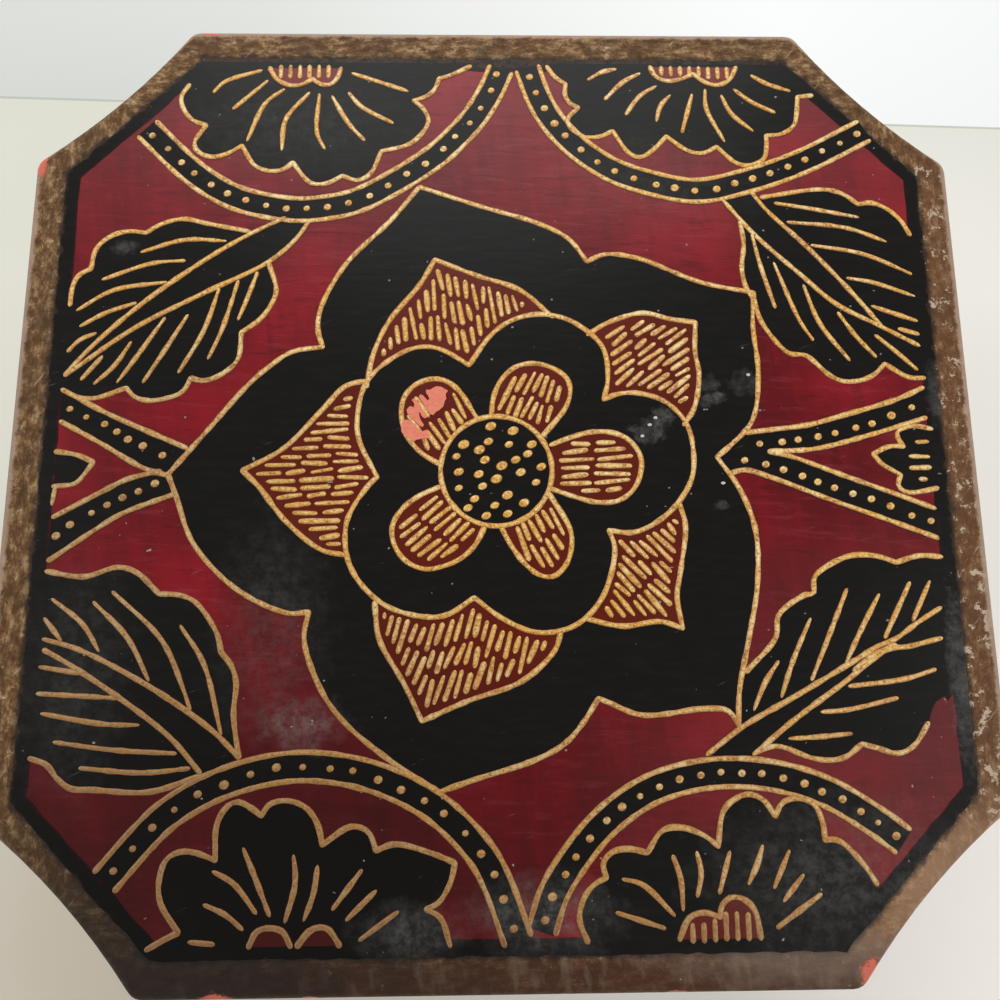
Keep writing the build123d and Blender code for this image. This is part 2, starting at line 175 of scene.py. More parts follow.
# A leaf: its two edges and the two lines of its rib, each from the stem to the tip, and its veins.
LEAVES = {
    "back_left": dict(
        edge_a=[[(-42.8, 41.4), (-50.3, 42.9), (-54, 43.7), (-57.7, 42.8)],
                [(-60.4, 41.1), (-63.3, 41.4), (-66.3, 40.5), (-68.6, 38.3)],
                [(-69.3, 34.5), (-71.2, 33.4), (-72.1, 31.4), (-72.3, 28)]],
        edge_b=[[(-39.1, 35.5), (-37.6, 30.6), (-38.4, 28), (-40.2, 25.4)],
                [(-43.2, 23.1), (-43.6, 18.3), (-46.2, 15.7), (-49.2, 14.6)],
                [(-51.2, 15.1), (-52.5, 12.7), (-55.1, 11.6), (-58.1, 11.2), (-60.4, 11.9)],
                [(-61.8, 13.4), (-67.1, 11.6), (-69.7, 11.9), (-72.3, 13.1)]],
        rib_a=[(-36.5, 44.1), (-43.6, 40.3), (-49.9, 36.2), (-60, 28.4), (-67.8, 20.9), (-72.3, 15.5)],
        rib_b=[(-32.4, 43.4), (-34.6, 40), (-39.1, 35.8), (-49.9, 30.1), (-61.1, 23.9), (-72.3, 15.4)],
        veins=[[(-61.1, 37.5), (-53.6, 39.8), (-46.5, 39.6)], [(-67.3, 32.5), (-58.9, 35.5), (-53.3, 36)],
               [(-71.2, 26.9), (-65.2, 30.6), (-56.2, 32.1)], [(-70.4, 24.1), (-66.3, 26.5), (-61.1, 28.4)],
               [(-72.1, 19.6), (-70.1, 21.8), (-67.4, 23)], [(-47.3, 31), (-49.5, 23.5), (-53.4, 15.9)],
               [(-44.1, 32.5), (-46.5, 23.5), (-48.6, 18.3)], [(-40.9, 34), (-42.7, 28.5), (-43.9, 25.2)],
               [(-52.3, 26.3), (-56.8, 18.3), (-59.2, 14.2)], [(-56.1, 25.8), (-61.5, 17.2), (-63.5, 14.2)],
               [(-61.5, 21.5), (-64.1, 17.2), (-67.3, 14)], [(-66.1, 19), (-69.5, 14.7)]]),
    "back_right": dict(
        edge_a=[[(46.9, 48), (56.6, 49.5), (59.6, 49.3), (61.8, 48.4)],
                [(63.9, 46.7), (66.3, 47), (68.9, 45.9), (71.2, 43.7), (72.6, 41)]],
        edge_b=[[(42.8, 43.3), (43.2, 39.2), (42.6, 34.7), (43.2, 31)],
                [(44.4, 29), (45.4, 25), (49.9, 19.2), (52.5, 19), (56.6, 15.3), (58.8, 14.3), (62.2, 14.6),
                 (64.4, 15.7)], [(66.1, 17.4), (70, 15), (72.6, 14.9)]],
        rib_a=[(45, 49.2), (47.3, 45.9), (54.4, 38.5), (61.5, 30.2), (66.3, 23.9)],
        rib_b=[(39.6, 47.9), (45.4, 40.7), (52.9, 33.4), (58.5, 28.2), (65.6, 24.3), (72.5, 20.5)],
        veins=[[(49, 46.9), (55.1, 45.9), (63.9, 44.2)], [(51, 43.3), (61.5, 42.2), (68.4, 39.6)],
               [(54.9, 39), (64.1, 37.3), (72.3, 33.6)], [(60.7, 32.9), (65.2, 32.1), (72.5, 29.5)],
               [(64.6, 27.8), (72.5, 25)], [(68.9, 23.7), (72.6, 22.6)],
               [(44.7, 41.1), (45.8, 35.5), (48, 27.3)], [(48.2, 35.8), (52.1, 25), (54.2, 21.5)],
               [(53.1, 31.7), (55.5, 24.6), (60.2, 17.9)], [(58.7, 26.7), (61.5, 22.4), (64.8, 18.5)],
               [(64.8, 22.6), (68.6, 19.2), (71.7, 16.2)]]),
    "front_left": dict(
        edge_a=[[(-40.4, -45.9), (-41.5, -39.2), (-41.3, -34.7), (-42.1, -32.1)],
                [(-43.9, -29.9), (-44.7, -27), (-48.4, -22), (-51, -20.9)],
                [(-54.2, -20.7), (-58.1, -17.2), (-61.1, -16.4), (-66.3, -17.9), (-72.3, -17)]],
        edge_b=[[(-46.2, -48.5), (-53.6, -50.8), (-62.6, -50.4), (-65.9, -50.2)],
                [(-68.2, -48.5), (-69.7, -46.7), (-72.4, -45.7)]],
        rib_a=[(-40.3, -45.9), (-44.7, -41.8), (-53.6, -35.8), (-63.3, -30.6), (-67.1, -29), (-72.1, -27.6)],
        rib_b=[(-46, -48.3), (-51, -42.9), (-59.6, -36.6), (-68.2, -31.2), (-71.9, -29.2)],
        veins=[[(-64.8, -47.2), (-55.1, -48), (-47.7, -47.4)],
               [(-69.1, -43.3), (-59.6, -44.6), (-49.9, -45.2)],
               [(-71.4, -39), (-61.5, -40.7), (-55.9, -40.9)], [(-72.3, -36), (-59.6, -36.8)],
               [(-72.3, -31.9), (-65.6, -33)], [(-71.2, -21.3), (-65.9, -25.4), (-63, -29.7)],
               [(-64.6, -21.8), (-58.7, -27.6), (-54.9, -34.3)],
               [(-61.7, -20.2), (-53.3, -28), (-49.5, -35.5), (-48.2, -38.8)],
               [(-50.6, -25.6), (-46.5, -31.7), (-43.2, -42.6)], [(-72.1, -24.3), (-69, -28)]]),
    "front_right": dict(
        edge_a=[[(39.4, -33.6), (44.5, -28.2), (45, -25), (46.9, -23.1)], [(49.7, -21.5), (51.2, -21.3)],
                [(51.2, -20.9), (51.4, -18.7), (56.6, -15.5), (59.6, -15.1), (62.6, -15.5)],
                [(65, -16.4), (68.9, -15.3), (72.5, -15.5)]],
        edge_b=[[(40.2, -45.9), (43.5, -45), (49.1, -46.9), (52.1, -47.2), (54.4, -46.7)],
                [(57, -44.8), (59.6, -45.5), (62.6, -46.3), (65.2, -45.2), (67.8, -41.8)]],
        rib_a=[(32.3, -46.3), (38.7, -41.8), (46.5, -37.7), (56.7, -32.1), (61.2, -29.6), (63.5, -28.8),
               (67.6, -26.1), (71.8, -23.6)],
        rib_b=[(39.6, -46.4), (46.5, -41.1), (55.2, -35.2), (59.3, -32.2), (62.9, -30.1), (65.6, -29.9),
               (68.2, -29.3), (71.5, -28.5)],
        veins=[[(44.7, -31.9), (42.4, -35.1), (40.2, -39.6)], [(50.3, -25.2), (46.9, -32.1), (44.7, -37.7)],
               [(56.6, -20.5), (53.1, -28), (49.7, -35.1)], [(61.8, -21.4), (58.2, -27.4), (55.4, -32.5)],
               [(67, -19.5), (62, -28.6)], [(70.3, -19.3), (66.8, -25.9)],
               [(56.4, -33.6), (60.4, -30.9), (63.9, -29.4)], [(55.5, -36), (64.8, -34.9), (70, -33.4)],
               [(50.8, -39.9), (55.1, -39.6), (63.5, -37.8)], [(45.4, -43.9), (49.9, -43.7), (55.7, -43.2)]],
        root=[(38, -41.6), (38.3, -36.6)],
        bare=[(68.7, -39.6), (69.4, -38.5), (70.9, -37.6), (71.4, -38.3), (72.4, -37.2)]),
}
# A half flower that grows from the edge: its outline, its red hearts and its strokes. Its hearts hold short
# strokes too, unless it says hatched=False.
HALF_FLOWERS = {
    "back_left": dict(
        edge=[[(-54.6, 69.4), (-55.9, 67), (-55.3, 64.6), (-53.6, 62.5)],
              [(-51.2, 61.5), (-53.1, 57.9), (-52.1, 56.2), (-49.9, 55.4), (-47.3, 56)],
              [(-44.7, 57.6), (-42.1, 53.6), (-39.1, 52.7), (-37, 53.2)],
              [(-35.7, 54.4), (-32.4, 50.5), (-29.7, 50.4)], [(-26.9, 51.9), (-24.3, 51), (-22, 52.3)],
              [(-20.2, 56.6), (-14.9, 58.2), (-11.9, 62.4), (-12.9, 65)],
              [(-14.6, 66.5), (-11.9, 67.6), (-10.5, 69.4)], [(-10.1, 70.9), (-7.8, 71.7), (-4.5, 73.4)]],
        hearts=[[[(-40.4, 72.8), (-39.1, 70.6), (-36.8, 69.4), (-34.8, 69.5)],
                 [(-32.7, 70.7), (-31.2, 69.6), (-29.4, 69.6), (-28.2, 71.1), (-27.7, 72.8)]]],
        strokes=[[(-41.7, 72.4), (-48.4, 70), (-50.3, 67.8)], [(-40.6, 70.4), (-46.7, 64.6)],
                 [(-37.6, 68.7), (-40.9, 65.9), (-43.9, 58.4)], [(-33.1, 68.1), (-37.2, 62.7), (-37.7, 56.6)],
                 [(-31.4, 67.8), (-31.6, 60.1), (-30.1, 56.9)], [(-29.2, 67.4), (-26.1, 62), (-23.1, 58.6)],
                 [(-26.3, 68.1), (-23.9, 65.3), (-18.1, 62)], [(-25.8, 71.9), (-15.5, 68.3)]]),
    "back_right": dict(
        edge=[[(9.4, 73.4), (10.8, 71.3)], [(12.7, 69.9), (12.5, 67.9), (13.4, 66.1)],
              [(14.9, 65.3), (12.9, 62.9), (13.6, 61)], [(16, 59.4), (18.7, 59.6)],
              [(20.9, 60.7), (23.9, 56.2), (25.8, 55.6), (28.1, 57.1)],
              [(30.5, 59.7), (34.2, 56.9), (36.8, 56.4)],
              [(39.4, 57.7), (42.8, 54.5), (44.7, 54.1), (47.7, 55.3), (48.4, 57.9)],
              [(48.4, 59.9), (51.4, 60.3), (53.6, 62), (54.2, 64.2)], [(54.6, 67.6), (57.2, 67.9)]],
        hearts=[[[(28.1, 73.4), (29, 71.5), (31.2, 70.6), (33.8, 71.1)],
                 [(35.9, 72.1), (37.6, 70.6), (40, 69.8), (42.4, 70.9), (43.7, 73.4)]]],
        strokes=[[(22, 73), (19.4, 72.4), (16.6, 70.7)], [(26.3, 72.2), (23.1, 70.4), (19.6, 66.8)],
                 [(29, 69.6), (26, 67.6), (23.3, 63.8)], [(31.6, 67.9), (29.7, 65.7), (28.8, 62.5)],
                 [(35.5, 68.1), (33.3, 60.3)], [(37.9, 69.1), (37.9, 65.3), (40.9, 58.6)],
                 [(40.7, 67.9), (42.4, 64.2), (46.2, 60.7)], [(43, 69.1), (46.2, 66.5), (50.4, 64.4)],
                 [(46.3, 71.9), (49.1, 70.2), (53.4, 68.7)]]),
    "front_left": dict(
        hatched=False,
        edge=[[(-52.7, -73.2), (-50.3, -71.9)],
              [(-48.2, -70.9), (-51.2, -66.4), (-51.4, -63.1), (-50.5, -60.5), (-48.4, -59.5),
               (-46.2, -59.7)], [(-43.2, -60.8), (-43.2, -55.6), (-41.7, -53), (-40.2, -52.4), (-38, -53.4)],
              [(-36.5, -54.5), (-35.3, -52.8), (-32.7, -52.3), (-29.7, -53.4), (-27.9, -55.8)],
              [(-27.1, -58.8), (-22.8, -56.2), (-20.2, -56.9)],
              [(-18.9, -59.7), (-16.1, -58.8), (-10.1, -60.3)], [(-6.9, -61.6), (-7.5, -64.2), (-9.3, -67.2)],
              [(-11.2, -68.1), (-9, -69.4), (-7.6, -73.2)]],
        hearts=[[[(-37.6, -73), (-36.5, -70.9), (-34.6, -70.4), (-32.7, -70.9), (-31.4, -73)]],
                [[(-30.4, -73), (-28.6, -70.9), (-27.2, -70.4), (-25.8, -70.7), (-24.1, -73)]]],
        strokes=[[(-46.7, -72.2), (-42.6, -72.6)], [(-44.7, -67), (-41.3, -68.5), (-38.5, -70.7)],
                 [(-43.6, -62.3), (-40.2, -64.2), (-36.6, -68.5)],
                 [(-39.1, -59), (-37, -63.5), (-34.6, -68.9)], [(-31.4, -60.1), (-31, -64.2), (-32.4, -69.8)],
                 [(-27.7, -61.6), (-28.2, -65.7), (-29.6, -69.6)], [(-20.9, -62.3), (-25.4, -68.1)],
                 [(-18.7, -65.3), (-23.3, -69.6)], [(-15.3, -68.3), (-21.3, -72.4)]]),
    "front_right": dict(
        edge=[[(13.1, -73), (11.9, -69.8), (12.7, -66.8), (14.2, -65)],
              [(16.2, -64), (15.7, -62), (17.2, -60.3), (19.8, -59.9)],
              [(22.6, -60.5), (25, -57.3), (28, -56.9), (31.6, -58.2)],
              [(33.5, -59.7), (34.6, -54.5), (36.5, -52.8), (38.7, -52.1), (40.9, -53)],
              [(42.6, -55.4), (43.9, -53.4), (46.5, -52.8), (48.8, -53.8), (49.9, -56.4)],
              [(50.1, -59), (52.1, -59), (55.9, -62.7), (57.6, -65.4)]],
        hearts=[[[(27, -72.8), (28.6, -69.8), (30.9, -69.1)],
                 [(33.3, -69.8), (33.5, -68.3), (35, -67), (36.8, -67.2), (38.5, -68.7), (39.3, -72.8)]]],
        strokes=[[(18.5, -64.2), (21.6, -65), (26.5, -69.6)], [(17.4, -68.9), (25, -71.3)],
                 [(26.4, -60.8), (27.5, -64.2), (27.7, -68.9)], [(30.1, -60.3), (30.7, -63.5), (29.9, -67)],
                 [(35.3, -60.3), (33.3, -66.6)], [(40.4, -59.5), (39.4, -62.3), (37.8, -65.3)],
                 [(44.5, -60.3), (41.7, -65.9)], [(46.5, -63.8), (43, -67.8)],
                 [(49.1, -66.6), (41.7, -71.5)]]),
}

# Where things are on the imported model, in millimetres.
LID_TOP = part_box("lid_board")[1][2] / MM
FLOOR_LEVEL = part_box("wall_front")[0][2] / MM
WALL_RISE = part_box("wall_front")[1][2] / MM - FLOOR_LEVEL
WALL_OUT = -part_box("wall_front")[0][1] / MM
CORNER_CUT = 26.0
LID_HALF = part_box("lid_board")[1][0] / MM


def linear(code):
    """A colour written as sRGB hex, turned to the linear values that shaders take."""
    parts = [int(code[i : i + 2], 16) / 255 for i in (0, 2, 4)]
    return tuple(c / 12.92 if c <= 0.04045 else ((c + 0.055) / 1.055) ** 2.4 for c in parts)


class JewelryBoxSizes(bpy.types.PropertyGroup):
    """Sizes of the painted lines and dots."""

    line_width: bpy.props.FloatProperty(
        name="Line width", description="Width of the pale outlines", default=0.00105, min=0.0003, unit="LENGTH")
    stroke_width: bpy.props.FloatProperty(
        name="Stroke width", description="Width of veins and petal strokes", default=0.001, min=0.0003,
        unit="LENGTH")
    hatch_width: bpy.props.FloatProperty(
        name="Hatch width", description="Width of the short strokes that fill the red petals", default=0.001,
        min=0.0003, unit="LENGTH")
    hatch_length: bpy.props.FloatProperty(
        name="Hatch length", description="Length of the short strokes", default=0.0043, min=0.001, unit="LENGTH")
    hatch_pitch: bpy.props.FloatProperty(
        name="Hatch pitch", description="From one short stroke to the next beside it", default=0.00134,
        min=0.0008, unit="LENGTH")
    dot_width: bpy.props.FloatProperty(
        name="Dot width", description="Width of the dots in the bands", default=0.0013, min=0.0005,
        unit="LENGTH")
    band_width: bpy.props.FloatProperty(
        name="Band width", description="Width of a dotted band between the middles of its two lines",
        default=0.0042, min=0.002, unit="LENGTH")
    crown: bpy.props.FloatProperty(
        name="Line crown", description="How far a line's middle stands above the coat under it", default=0.00014,
        min=0.0, unit="LENGTH")


class JewelryBoxColours(bpy.types.PropertyGroup):
    """Colours of the paints and cloth."""

    crimson: bpy.props.FloatVectorProperty(
        name="Crimson", description="The red ground and petals", default=linear("6E0F17"), subtype="COLOR")
    black: bpy.props.FloatVectorProperty(
        name="Black", description="The black flowers, leaves and bands", default=linear("0C0B0A"),
        subtype="COLOR")
    ochre: bpy.props.FloatVectorProperty(
        name="Ochre", description="The pale lines and dots", default=linear("E4AB55"), subtype="COLOR")
    umber: bpy.props.FloatVectorProperty(
        name="Umber", description="The brown border and edges", default=linear("704D29"), subtype="COLOR")
    coral: bpy.props.FloatVectorProperty(
        name="Coral", description="The undercoat where paint is chipped", default=linear("E98369"),
        subtype="COLOR")
    velvet: bpy.props.FloatVectorProperty(
        name="Velvet", description="The lining and pads", default=linear("5C0F1C"), subtype="COLOR")


def size(name):
    """One of the panel's sizes, in millimetres."""
    return getattr(bpy.context.scene.jewelry_box_sizes, name) / MM


def colour(name):
    """One of the panel's colours."""
    return tuple(getattr(bpy.context.scene.jewelry_box_colours, name))


def every(spacing):
    """A pattern's scale, for features this many millimetres apart."""
    return 1 / (spacing * MM)


def node(tree, kind, inputs=None, stops=None, **settings):
    """Adds a shader node with its settings, a ramp's stops, and its inputs, which are given in order or by name as
    values, colours in hex, or what they are linked from. A node is linked from its first socket in use."""
    made = tree.nodes.new("ShaderNode" + kind)
    for name, value in settings.items():
        setattr(made, name, value)
    if isinstance(inputs, list):
        inputs = dict(enumerate(inputs))
    for key, value in (inputs or {}).items():
        socket = made.inputs[key] if isinstance(key, int) else next(
            s for s in made.inputs if s.name == key and s.enabled)
        if isinstance(value, str):
            value = linear(value)
        if isinstance(value, bpy.types.Node):
            value = next(s for s in value.outputs if s.enabled)
        if isinstance(value, bpy.types.NodeSocket):
            tree.links.new(value, socket)
        elif socket.type == "RGBA":
            socket.default_value = (*value, 1.0)
        else:
            socket.default_value = value
    if stops:
        ramp = made.color_ramp
        while len(ramp.elements) < len(stops):
            ramp.elements.new(1.0)
        for element, (position, value) in zip(ramp.elements, stops):
            element.position = position
            element.color = (*value, 1.0)
    return made


def begin(name):
    """A new material, its tree, and the place on the object in metres, which patterns are scaled by."""
    material = bpy.data.materials.new(name)
    material.use_nodes = True
    tree = material.node_tree
    tree.nodes.clear()
    return material, tree, node(tree, "TexCoord").outputs["Object"]


def surface(material, tree, base, dull, relief, depth, more):
    """Ends a material with its shader: colour, roughness, a relief this many millimetres deep, and more."""
    bump = node(tree, "Bump", {"Height": relief, "Distance": depth * MM})
    shader = node(tree, "BsdfPrincipled", {"Base Color": base, "Roughness": dull, "Normal": bump, **more})
    node(tree, "OutputMaterial", {"Surface": shader})
    return material


def rub(tree, base, *coats):
    """Rubs colours over a base in turn. Each is a colour, the pattern that brings it in, the pattern's values
    where it starts and where it is full, and its greatest share."""
    for over, pattern, start, full, most in coats:
        share = node(tree, "MapRange", {"Value": pattern, "From Min": start, "From Max": full, "To Max": most})
        base = node(tree, "Mix", {"Factor": share, "A": base, "B": over}, data_type="RGBA")
    return base


def patch(tree, place, centre, radii, ragged=0.35, spacing=2.0, soft=0.35):
    """A ragged spot round a place on the object in millimetres: 1 inside it and 0 outside."""
    offset = node(tree, "VectorMath", [place, [c * MM for c in centre]], operation="SUBTRACT")
    ratio = node(tree, "VectorMath", [offset, [1 / (r * MM) for r in radii]], operation="MULTIPLY")
    far = node(tree, "VectorMath", [ratio], operation="LENGTH")
    uneven = node(tree, "TexNoise", {"Vector": place, "Scale": every(spacing), "Detail": 3.0})
    far = node(tree, "Math", [uneven, 2 * ragged, far], operation="MULTIPLY_ADD")
    return node(tree, "MapRange",
                {"Value": far, "From Min": 1 + ragged + soft / 2, "From Max": 1 + ragged - soft / 2})


def streaks(tree, place, stretch, turn, spacing, more):
    """A noise whose features lie this many millimetres apart, drawn out by the stretch and turned in radians."""
    drawn = node(tree, "Mapping", {"Vector": place, "Rotation": (0, 0, turn), "Scale": stretch},
                 vector_type="TEXTURE")
    return node(tree, "TexNoise", {"Vector": drawn, "Scale": every(spacing), **more})


# Dull places on the black and red: centre and half sizes in millimetres on the lid, and strength.
HAZE = [
    ((27.6, 8.2), (1.7, 1.5), 0.8), ((26, 6), (2.0, 1.7), 0.85), ((24.4, 5), (1.3, 1.2), 0.7),
    ((22.8, 6.2), (1.1, 0.6), 0.5), ((36.4, 11.5), (1.8, 0.9), 0.9), ((34.9, 10.6), (0.9, 0.8), 0.8),
    ((35.7, 13.9), (1.6, 1.2), 0.5), ((41.8, 14), (2.2, 1.8), 0.5), ((37, -6.8), (1.1, 0.7), 1.0),
    ((7, -69), (8, 4), 0.8), ((-13.5, -71.5), (6, 3), 0.6), ((-63.8, 38.4), (1.8, 1.1), 0.7),
    ((-31, -41), (5, 3), 0.9), ((73.6, -35), (1.6, 12), 0.6), ((74.6, 12), (1.6, 5), 0.5),
    ((52, -64), (14, 8), 0.45), ((-67, -34), (6, 12), 0.25), ((28, 51), (14, 6), 0.2), ((-36, 62), (14, 7), 0.2),
    ((-36, -26), (6, 12), 0.3),
]
# Small white glints painted on the lid as pale specks.
GLINT_SPECKS = [(26.5, 8), (25.5, 6.8), (24.2, 4.9), (37.3, -3.1), (42.6, 15.5)]
# Chips out of the lid's edge, down to the coral undercoat: centre and half sizes.
EDGE_CHIPS = [
    ((-51.6, 80.2), (1.5, 0.9)), ((-55.9, 78.6), (0.8, 0.5)), ((-79.4, 54.2), (1.0, 2.6)),
    ((-66.5, 58.9), (0.6, 0.6)), ((-42.3, -80.4), (2.1, 1.0)), ((-28.6, -80.5), (1.2, 0.5)),
    ((26.3, -80.5), (1.6, 0.5)), ((56.2, -78.2), (2.1, 2.2)), ((11, 80.6), (15, 0.6)),
]


def worn(tree, place, base):
    """Bloom, dust, hairline scuffs and a few painted glints over a lacquer's colour. Gives the colour, and how
    dull the lacquer is.
    """
    hairs = streaks(tree, place, (9, 1, 1), 0.35, 0.7, {"Detail": 5.0, "Roughness": 0.65})
    specks = node(tree, "TexNoise", {"Vector": place, "Scale": every(1.5), "Detail": 5.0, "Roughness": 0.7})
    bloom = 0.0
    for (x, y), (a, b), strength in HAZE:
        spot = patch(tree, place, (x, y, LID_TOP), (a, b, 9), 0.8, min(2.6, a / 2), min(1.5, 0.4 + a / 5))
        spot = node(tree, "Math", [spot, strength], operation="MULTIPLY")
        bloom = node(tree, "Math", [bloom, spot], operation="MAXIMUM")
    broken = node(tree, "MapRange", {"Value": specks, "From Min": 0.4, "From Max": 0.68, "To Min": 0.08,
                                     "To Max": 0.42})
    bloom = node(tree, "Math", [bloom, broken], operation="MULTIPLY")
    scuffs = node(tree, "MapRange", {"Value": hairs, "From Min": 0.69, "From Max": 0.75, "To Max": 0.2})
    bloom = node(tree, "Math", [bloom, scuffs], operation="MAXIMUM")
    dust = node(tree, "TexNoise", {"Vector": place, "Scale": every(1.1), "Detail": 1.0})
    base = node(tree, "Mix", {"Factor": bloom, "A": base, "B": "8B8A86"}, data_type="RGBA")
    for x, y in GLINT_SPECKS:
        speck = patch(tree, place, (x, y, LID_TOP), (0.34, 0.24, 2), 0.6, 0.4, 0.3)
        base = rub(tree, base, ("D8D6D0", speck, 0, 1, 0.85))
    return rub(tree, base, ("A9A39A", dust, 0.78, 0.81, 0.7)), bloom


def crimson_lacquer():
    """Softwood brushed with crimson lacquer and rubbed: a deep red that is uneven where the brush went, with fine
    wavy lines of raised grain, under a satin coat that is scuffed and a little milky."""
    material, tree, place = begin("crimson_lacquer_on_wood_brushed")
    red = colour("crimson")
    dark = [c * 0.42 for c in red]
    light = [c * 1.5 for c in red]
    cloud = node(tree, "TexNoise", {"Vector": place, "Scale": every(17), "Detail": 4.0})
    brushed = streaks(tree, place, (1, 6, 1), 0.15, 2.0, {"Detail": 3.0, "Distortion": 0.4})
    raised = streaks(tree, place, (6, 1, 1), -0.04, 1.2, {"Detail": 6.0, "Roughness": 0.7, "Distortion": 0.4})
    hatched = node(tree, "Attribute", attribute_name="shade").outputs["Fac"]
    # The red is painted paler towards the back as a milky painted reflection, painted darker at the front left as
    # painted shadow, and dull at the front right.
    spot = node(tree, "SeparateXYZ", [place]).outputs
    front_left_shade = patch(tree, place, (-38, -63, LID_TOP), (50, 27, 9), 0.3, 14.0, 1.0)
    dulled = patch(tree, place, (54, -52, LID_TOP), (30, 28, 9), 0.4, 12.0, 1.2)
    base = node(tree, "ValToRGB", [cloud], [(0.33, [c * 0.66 for c in red]), (0.5, red), (0.68, light)])
    base = rub(tree, base,
               (dark, brushed, 0.52, 0.75, 0.4), (light, brushed, 0.48, 0.3, 0.3),
               (dark, raised, 0.56, 0.66, 0.65), ("963A48", raised, 0.46, 0.3, 0.3),
               ("561800", hatched, 0, 1, 0.8), ("A05A5C", spot[1], 30 * MM, 70 * MM, 0.22),
               ("1E0403", front_left_shade, 0, 1, 0.72), ("56302E", dulled, 0, 1, 0.4))
    base = worn(tree, place, base)[0]
    dull = node(tree, "MapRange", {"Value": raised, "From Min": 0.3, "From Max": 0.7, "To Min": 0.29,
                                   "To Max": 0.42})
    return surface(material, tree, base, dull, raised, 0.05, {"Specular IOR Level": 0.14})


def black_lacquer():
    """Black lacquer brushed over the red and rubbed: nearly black, with a soft satin veil and fine scuffs."""
    material, tree, place = begin("black_lacquer_on_wood_rubbed")
    black = colour("black")
    brushed = streaks(tree, place, (4, 1, 1), 0, 1.0, {"Detail": 4.0})
    # The border line thins out to the umber at its outer edge, but for the front, and to the crimson at its
    # inner edge.
    shade = node(tree, "Attribute", attribute_name="shade").outputs["Fac"]
    ragged = node(tree, "TexNoise", {"Vector": place, "Scale": every(1.6), "Detail": 5.0, "Roughness": 0.7})
    outer = node(tree, "Math", [ragged, 2.4, shade], operation="MULTIPLY_ADD")
    spot = node(tree, "SeparateXYZ", [place]).outputs
    fore = node(tree, "MapRange", {"Value": spot[1], "From Min": -68 * MM, "From Max": -73 * MM})
    outer = node(tree, "Math", [outer, fore], operation="SUBTRACT")
    inner = node(tree, "Math", [ragged, 1.6, shade], operation="MULTIPLY_ADD")
    # A painted shadow makes the black darker still at the front left.
    front_left_shade = patch(tree, place, (-36, -66, LID_TOP), (40, 22, 9), 0.3, 14.0, 1.0)
    base = rub(tree, black,
               ([c * 2.0 for c in black], brushed, 0.45, 0.75, 0.8), ("3B291B", outer, 1.95, 2.3, 0.9),
               ("350B14", inner, 0.08, -0.3, 0.8), ("030201", front_left_shade, 0, 1, 0.9))
    base, bloom = worn(tree, place, base)
    dull = node(tree, "MapRange", {"Value": bloom, "From Max": 0.5, "To Min": 0.31, "To Max": 0.5})
    return surface(material, tree, base, dull, brushed, 0.025, {"Specular IOR Level": 0.1})


def ochre_line():
    """Ochre and gold pen paint, laid on as thin beads and rubbed: tan that is brown in one stroke and golden in
    the next, with a few glints, and dark along the edges of each line."""
    material, tree, place = begin("ochre_pen_paint_beaded")
    grit = node(tree, "TexNoise", {"Vector": place, "Scale": every(0.5), "Detail": 4.0, "Roughness": 0.7})
    streak = node(tree, "TexNoise", {"Vector": place, "Scale": every(1.5), "Detail": 2.0})
    cloud = node(tree, "TexNoise", {"Vector": place, "Scale": every(6), "Detail": 3.0})
    hand = node(tree, "TexNoise", {"Vector": place, "Scale": every(22), "Detail": 2.0})
    spot = node(tree, "SeparateXYZ", [place]).outputs
    front_left_shade = patch(tree, place, (-66, -36, LID_TOP), (34, 46, 12), 0.5, 24.0, 1.2)
    front_left_shadow = patch(tree, place, (-40, -66, LID_TOP), (46, 30, 9), 0.4, 12.0, 1.0)
    bead_shade = node(tree, "Attribute", attribute_name="shade").outputs["Fac"]
    base = node(tree, "ValToRGB", [streak],
                [(0.36, linear("B27B3A")), (0.46, colour("ochre")), (0.58, linear("FFE4A0"))])
    base = rub(tree, base,
               ("DC9A3E", cloud, 0.46, 0.56, 0.5), ("E8AC34", hand, 0.46, 0.58, 0.7),
               ("6B4520", grit, 0.46, 0.37, 0.85), ("FFE9A8", grit, 0.53, 0.62, 0.85))
    # The gold is painted darker and browner towards the front of the lid, and darkest at its front left and over
    # the left leaf: painted shade.
    base = rub(tree, base,
               ("7A4C20", spot[1], -20 * MM, -70 * MM, 0.55), ("4A3220", spot[1], -66 * MM, -75 * MM, 0.6),
               ("6E5434", front_left_shade, 0, 1, 0.62), ("4C3820", front_left_shadow, 0, 1, 0.45),
               # Each bead is painted darker from its crest down to its foot: the paint's dark edge, and painted
               # shade on the bead's sides.
               ("A9682A", bead_shade, 0.02, 0.3, 0.7), ("3A2210", bead_shade, 0.3, 0.85, 0.95))
    dull = node(tree, "MapRange", {"Value": grit, "From Min": 0.35, "From Max": 0.65, "To Min": 0.6,
                                   "To Max": 0.26})
    return surface(material, tree, base, dull, grit, 0.14, {"Specular IOR Level": 0.5})


